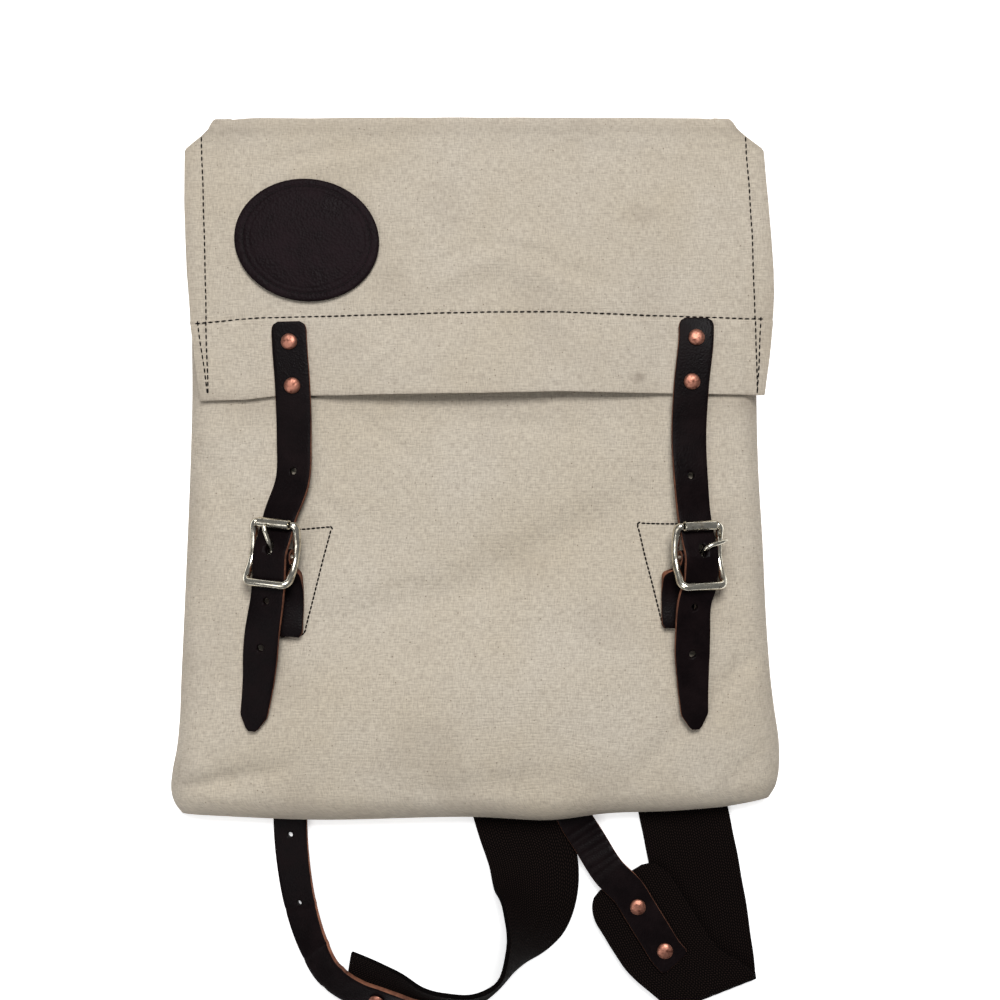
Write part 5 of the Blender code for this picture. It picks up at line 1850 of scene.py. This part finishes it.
@dataclass
class ShoulderStraps:
    """Both webbings and the leather billets riveted on their ends."""

    finishes: Finishes
    fold_x: float = 130.5
    fold_y: float = -293.0
    fold_turn: float = -68.5
    fold_radius: float = 3.4
    yoke_rise: float = 5.3
    fold_slide: float = 9.5
    fold_twist: float = -5.0
    fold_ease: float = 30.0
    fold_corner: float = 9.0
    end_round: float = 17.0
    end_share: float = 0.55
    overlap: float = 57.0
    rivets: tuple = (10.0, 38.0)
    holes: tuple = (-207, -245)
    hole: float = 1.4

    def web_rows(self, lines: list, spacing: float) -> Array:
        """Rows of x, y, z, roll along a webbing on the surface, raised onto the yoke patch at its top."""
        rows = [(x, y, lying(roll, lift, WEB_WIDTH, WEB_THICK), roll) for x, y, roll, lift in lines]
        rows = even_rows(np.array(rows, float), spacing)
        rows[:, 2] += self.yoke_rise * fade(rows[:, 1], 98.0, 130.0)
        return rows

    def folded(self, points: Array) -> Array:
        """Takes points of the flat right webbing round the fold at its lower end, where it lies askew."""
        turn = math.radians(self.fold_turn)
        out = np.array((math.cos(turn), math.sin(turn), 0))
        pivot = np.array((self.fold_x, self.fold_y, 0))
        past = (points - pivot) @ out
        edge = np.linspace(-1, 1, points.shape[1])[None, :]
        drawn = (self.fold_corner * bell(past, 7.0) * fade(edge, 0.35, 1.0))[..., None] * out
        swing = np.clip(past / self.fold_radius, 0, math.pi)
        back = np.maximum(past - math.pi * self.fold_radius, 0.0)
        lift = self.fold_radius * (1 - np.cos(swing)) - 1.6 * fade(back, 0, 40)
        along = self.fold_radius * np.sin(swing) - back
        bent = points + (along - past)[..., None] * out
        bent[..., 2] += lift
        skew = fade(back, 0, self.fold_ease)
        twist = np.radians(self.fold_twist) * skew
        away = bent - pivot
        bent[..., 0] = pivot[0] + away[..., 0] * np.cos(twist) - away[..., 1] * np.sin(twist)
        bent[..., 1] = pivot[1] + away[..., 0] * np.sin(twist) + away[..., 1] * np.cos(twist)
        bent += (self.fold_slide * skew)[..., None] * np.array((out[1], -out[0], 0))
        return np.where((past <= 0)[..., None], points, bent) - drawn

    def build(self) -> Spots:
        """Makes the webbings and billets, and returns where the billets' rivets go."""
        left = stations(self.web_rows(WEB_LEFT, 3.0))
        self.webbing(Side.LEFT, strap_grid(left, np.full(len(left), WEB_WIDTH), 16))
        rows = stations(self.web_rows(WEB_RIGHT, 1.8))
        run = run_of(rows)
        widths = WEB_WIDTH * (self.end_share + (1 - self.end_share) * rounded(run[-1] - run, self.end_round))
        grid = self.folded(strap_grid(rows, widths, 16))
        self.webbing(Side.RIGHT, grid)
        right = []
        for i, row in enumerate(grid):
            way = grid[min(i + 1, len(grid) - 1)][8] - grid[max(i - 1, 0)][8]
            across = (row[-1] - row[0]) / np.linalg.norm(row[-1] - row[0])
            normal = np.cross(across, way)
            right.append(Station(row[8], across, normal / np.linalg.norm(normal)))
        return self.billet(Side.LEFT, left, self.holes) + self.billet(Side.RIGHT, right, ())

    def webbing(self, side: Side, grid: Array) -> None:
        """Makes one webbing, with a little unevenness along its woven edges."""
        run = np.arange(len(grid))[:, None] * 1.0
        shares = np.linspace(-1, 1, grid.shape[1])[None, :]
        uneven = 0.35 * ripple(run, shares, 9.0, 2.8) * abs(shares) ** 3
        grid = grid + uneven[..., None] * np.array((1.0, 0.3, 0.0))
        piece = grid_piece(f"webbing_{side.value}", grid)
        dress(piece, self.finishes.webbing, self.finishes.webbing)
        thicken(piece, WEB_THICK, 0.0, 0.6)
        hand_over(piece, [f"shoulder_web_{side.value}"])

    def billet(self, side: Side, web: list[Station], holes: tuple) -> Spots:
        """Makes one billet, from under the bag to the end of its webbing, and returns where its rivets go."""
        lift = (WEB_THICK + STRAP_THICK) / 2 + GAP
        rows = [(x, y, lying(roll, up, STRAP_WIDTH, STRAP_THICK), roll) for x, y, roll, up in BILLETS[side]]
        for distance in (*np.arange(9.5, self.overlap - 5.0, 9.5), self.overlap):
            station = from_end(web, distance)
            up = station.normal if station.normal[2] > 0 else -station.normal
            centre = station.centre + up * lift
            way = centre - np.array(rows[-1][:3])
            across = np.cross(way, up)
            level = np.cross(way, (0, 0, 1))
            across, level = across / np.linalg.norm(across), level / np.linalg.norm(level)
            rows.append((*centre, math.degrees(math.atan2(across[2], across.dot(level)))))
        line = stations(even_rows(np.array(rows), 1.2))
        along = run_of(line)
        widths = STRAP_WIDTH * (0.72 + 0.28 * rounded(along[-1] - along, 3.0))
        swell = -0.5 * sum(bell(along - at, 1.3) for at in self.bends(side, along[-1]))
        piece = grid_piece(f"billet_leather_{side.value}", strap_grid(line, widths, 8, swell))
        dress(piece, self.finishes.leather, self.finishes.edge)
        thicken(piece, STRAP_THICK, 0.0, 0.42)
        if holes:
            cut(piece, [nearest(line, y).matrix() for y in holes], self.hole)
        hand_over(piece, [f"shoulder_billet_{side.value}"])
        return rivet_spots([from_end(line, distance) for distance in self.rivets])

    def bends(self, side: Side, length: float) -> Array:
        """Where the billet has cross creases from being bent, as distances along it."""
        if side is Side.RIGHT:
            return length - np.array((92.0, 87.5, 84.0, 79.0, 75.5, 70.0, 66.0))
        return length - np.array((110.0, 84.0, 66.0))


@dataclass
class HiddenFastenings:
    """What holds the shoulder straps to the bag's back: a yoke patch, two tabs and two plain buckles."""

    finishes: Finishes
    rise: float = 1.8

    def rivet_names(self) -> list[str]:
        """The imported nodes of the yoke's and the tabs' rivets, in order."""
        return sorted(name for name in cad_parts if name.startswith(("yoke_rivet", "lower_rivet")))

    def build(self) -> Spots:
        """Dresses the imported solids, and returns where their rivets go, heads down."""
        for name in ("yoke_patch", "lower_tab_left", "lower_tab_right"):
            dress(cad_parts[name], self.finishes.leather)
        for name in ("lower_buckle_left", "lower_buckle_right"):
            dress(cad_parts[name], self.finishes.nickel)
        places = []
        for name in self.rivet_names():
            low, high = on_plan(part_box(name))
            middle = (low + high) / 2
            places.append((np.array((middle[0], middle[1], low[2] + self.rise)), np.array((0.0, 0.0, -1.0))))
        return places


@dataclass
class Studio:
    """A pale floor, soft light from the bag's top, and a camera straight above it."""

    look_x: float = 13.7
    look_y: float = -18.1
    height: float = 775.0
    lens: float = 49.3
    sensor: float = 36.0
    floor_half: float = 8.0
    floor_drop: float = 0.0004
    air: str = "#F2F4F8"
    air_strength: float = 0.20

    def build(self) -> None:
        """Makes the floor, the lights and the camera."""
        scene = bpy.context.scene
        half = self.floor_half
        mesh = bpy.data.meshes.new("floor")
        corners = [(-half, -half, 0), (half, -half, 0), (half, half, 0), (-half, half, 0)]
        mesh.from_pydata(corners, [], [(0, 1, 2, 3)])
        floor = placed("floor", mesh)
        floor.location.z = -self.floor_drop
        dress(floor, FloorFinish("pale_floor", 0.9).build())
        world = bpy.data.worlds.new("studio_air")
        world.use_nodes = True
        background = world.node_tree.nodes["Background"]
        background.inputs["Color"].default_value = linear(self.air)
        background.inputs["Strength"].default_value = self.air_strength
        scene.world = world
        self.lamp("window", (0.2, 1.35, 2.45), size=1.1, power=73.0)
        self.lamp("fill", (-0.9, -0.6, 1.7), size=1.2, power=10.0)
        camera = placed("camera", bpy.data.cameras.new("camera"))
        camera.location = Vector(to_model(np.array((self.look_x, self.look_y, self.height))))
        camera.data.lens = self.lens
        camera.data.sensor_width = self.sensor
        camera.data.clip_start = 0.01
        scene.camera = camera
        scene.view_settings.view_transform = "Standard"

    def lamp(self, name: str, place: tuple[float, float, float], size: float, power: float) -> None:
        """A square soft light that faces the bag, in metres and watts."""
        data = bpy.data.lights.new(name, "AREA")
        data.size = size
        data.energy = power
        lamp = placed(name, data)
        lamp.location = place
        lamp.rotation_euler = (-Vector(place)).to_track_quat("-Z", "Y").to_euler()


def main() -> None:
    """Builds the bag in order, from its cloth to its rivets."""
    logging.basicConfig(level=logging.INFO, format="%(name)s: %(message)s")
    Studio().build()
    finishes = Finishes.made()
    form = BagForm()
    CanvasFlap(form, finishes).build()
    CanvasBag(form, finishes).build()
    OvalPatch(form, finishes).build()
    riveting = Riveting(finishes)
    closure_places = []
    for side in Side:
        closure_places += Closure(side, form, finishes).build()
    names = [f"closure_rivet_{side.value}_{level}" for side in Side for level in ("upper", "lower")]
    riveting.set_in("rivets_of_closures", closure_places, names)
    names = [f"billet_rivet_{side.value}_{number}" for side in Side for number in (1, 2)]
    riveting.set_in("rivets_of_billets", ShoulderStraps(finishes).build(), names)
    hidden = HiddenFastenings(finishes)
    riveting.set_in("rivets_of_fastenings", hidden.build(), hidden.rivet_names())


if __name__ == "__main__":
    main()
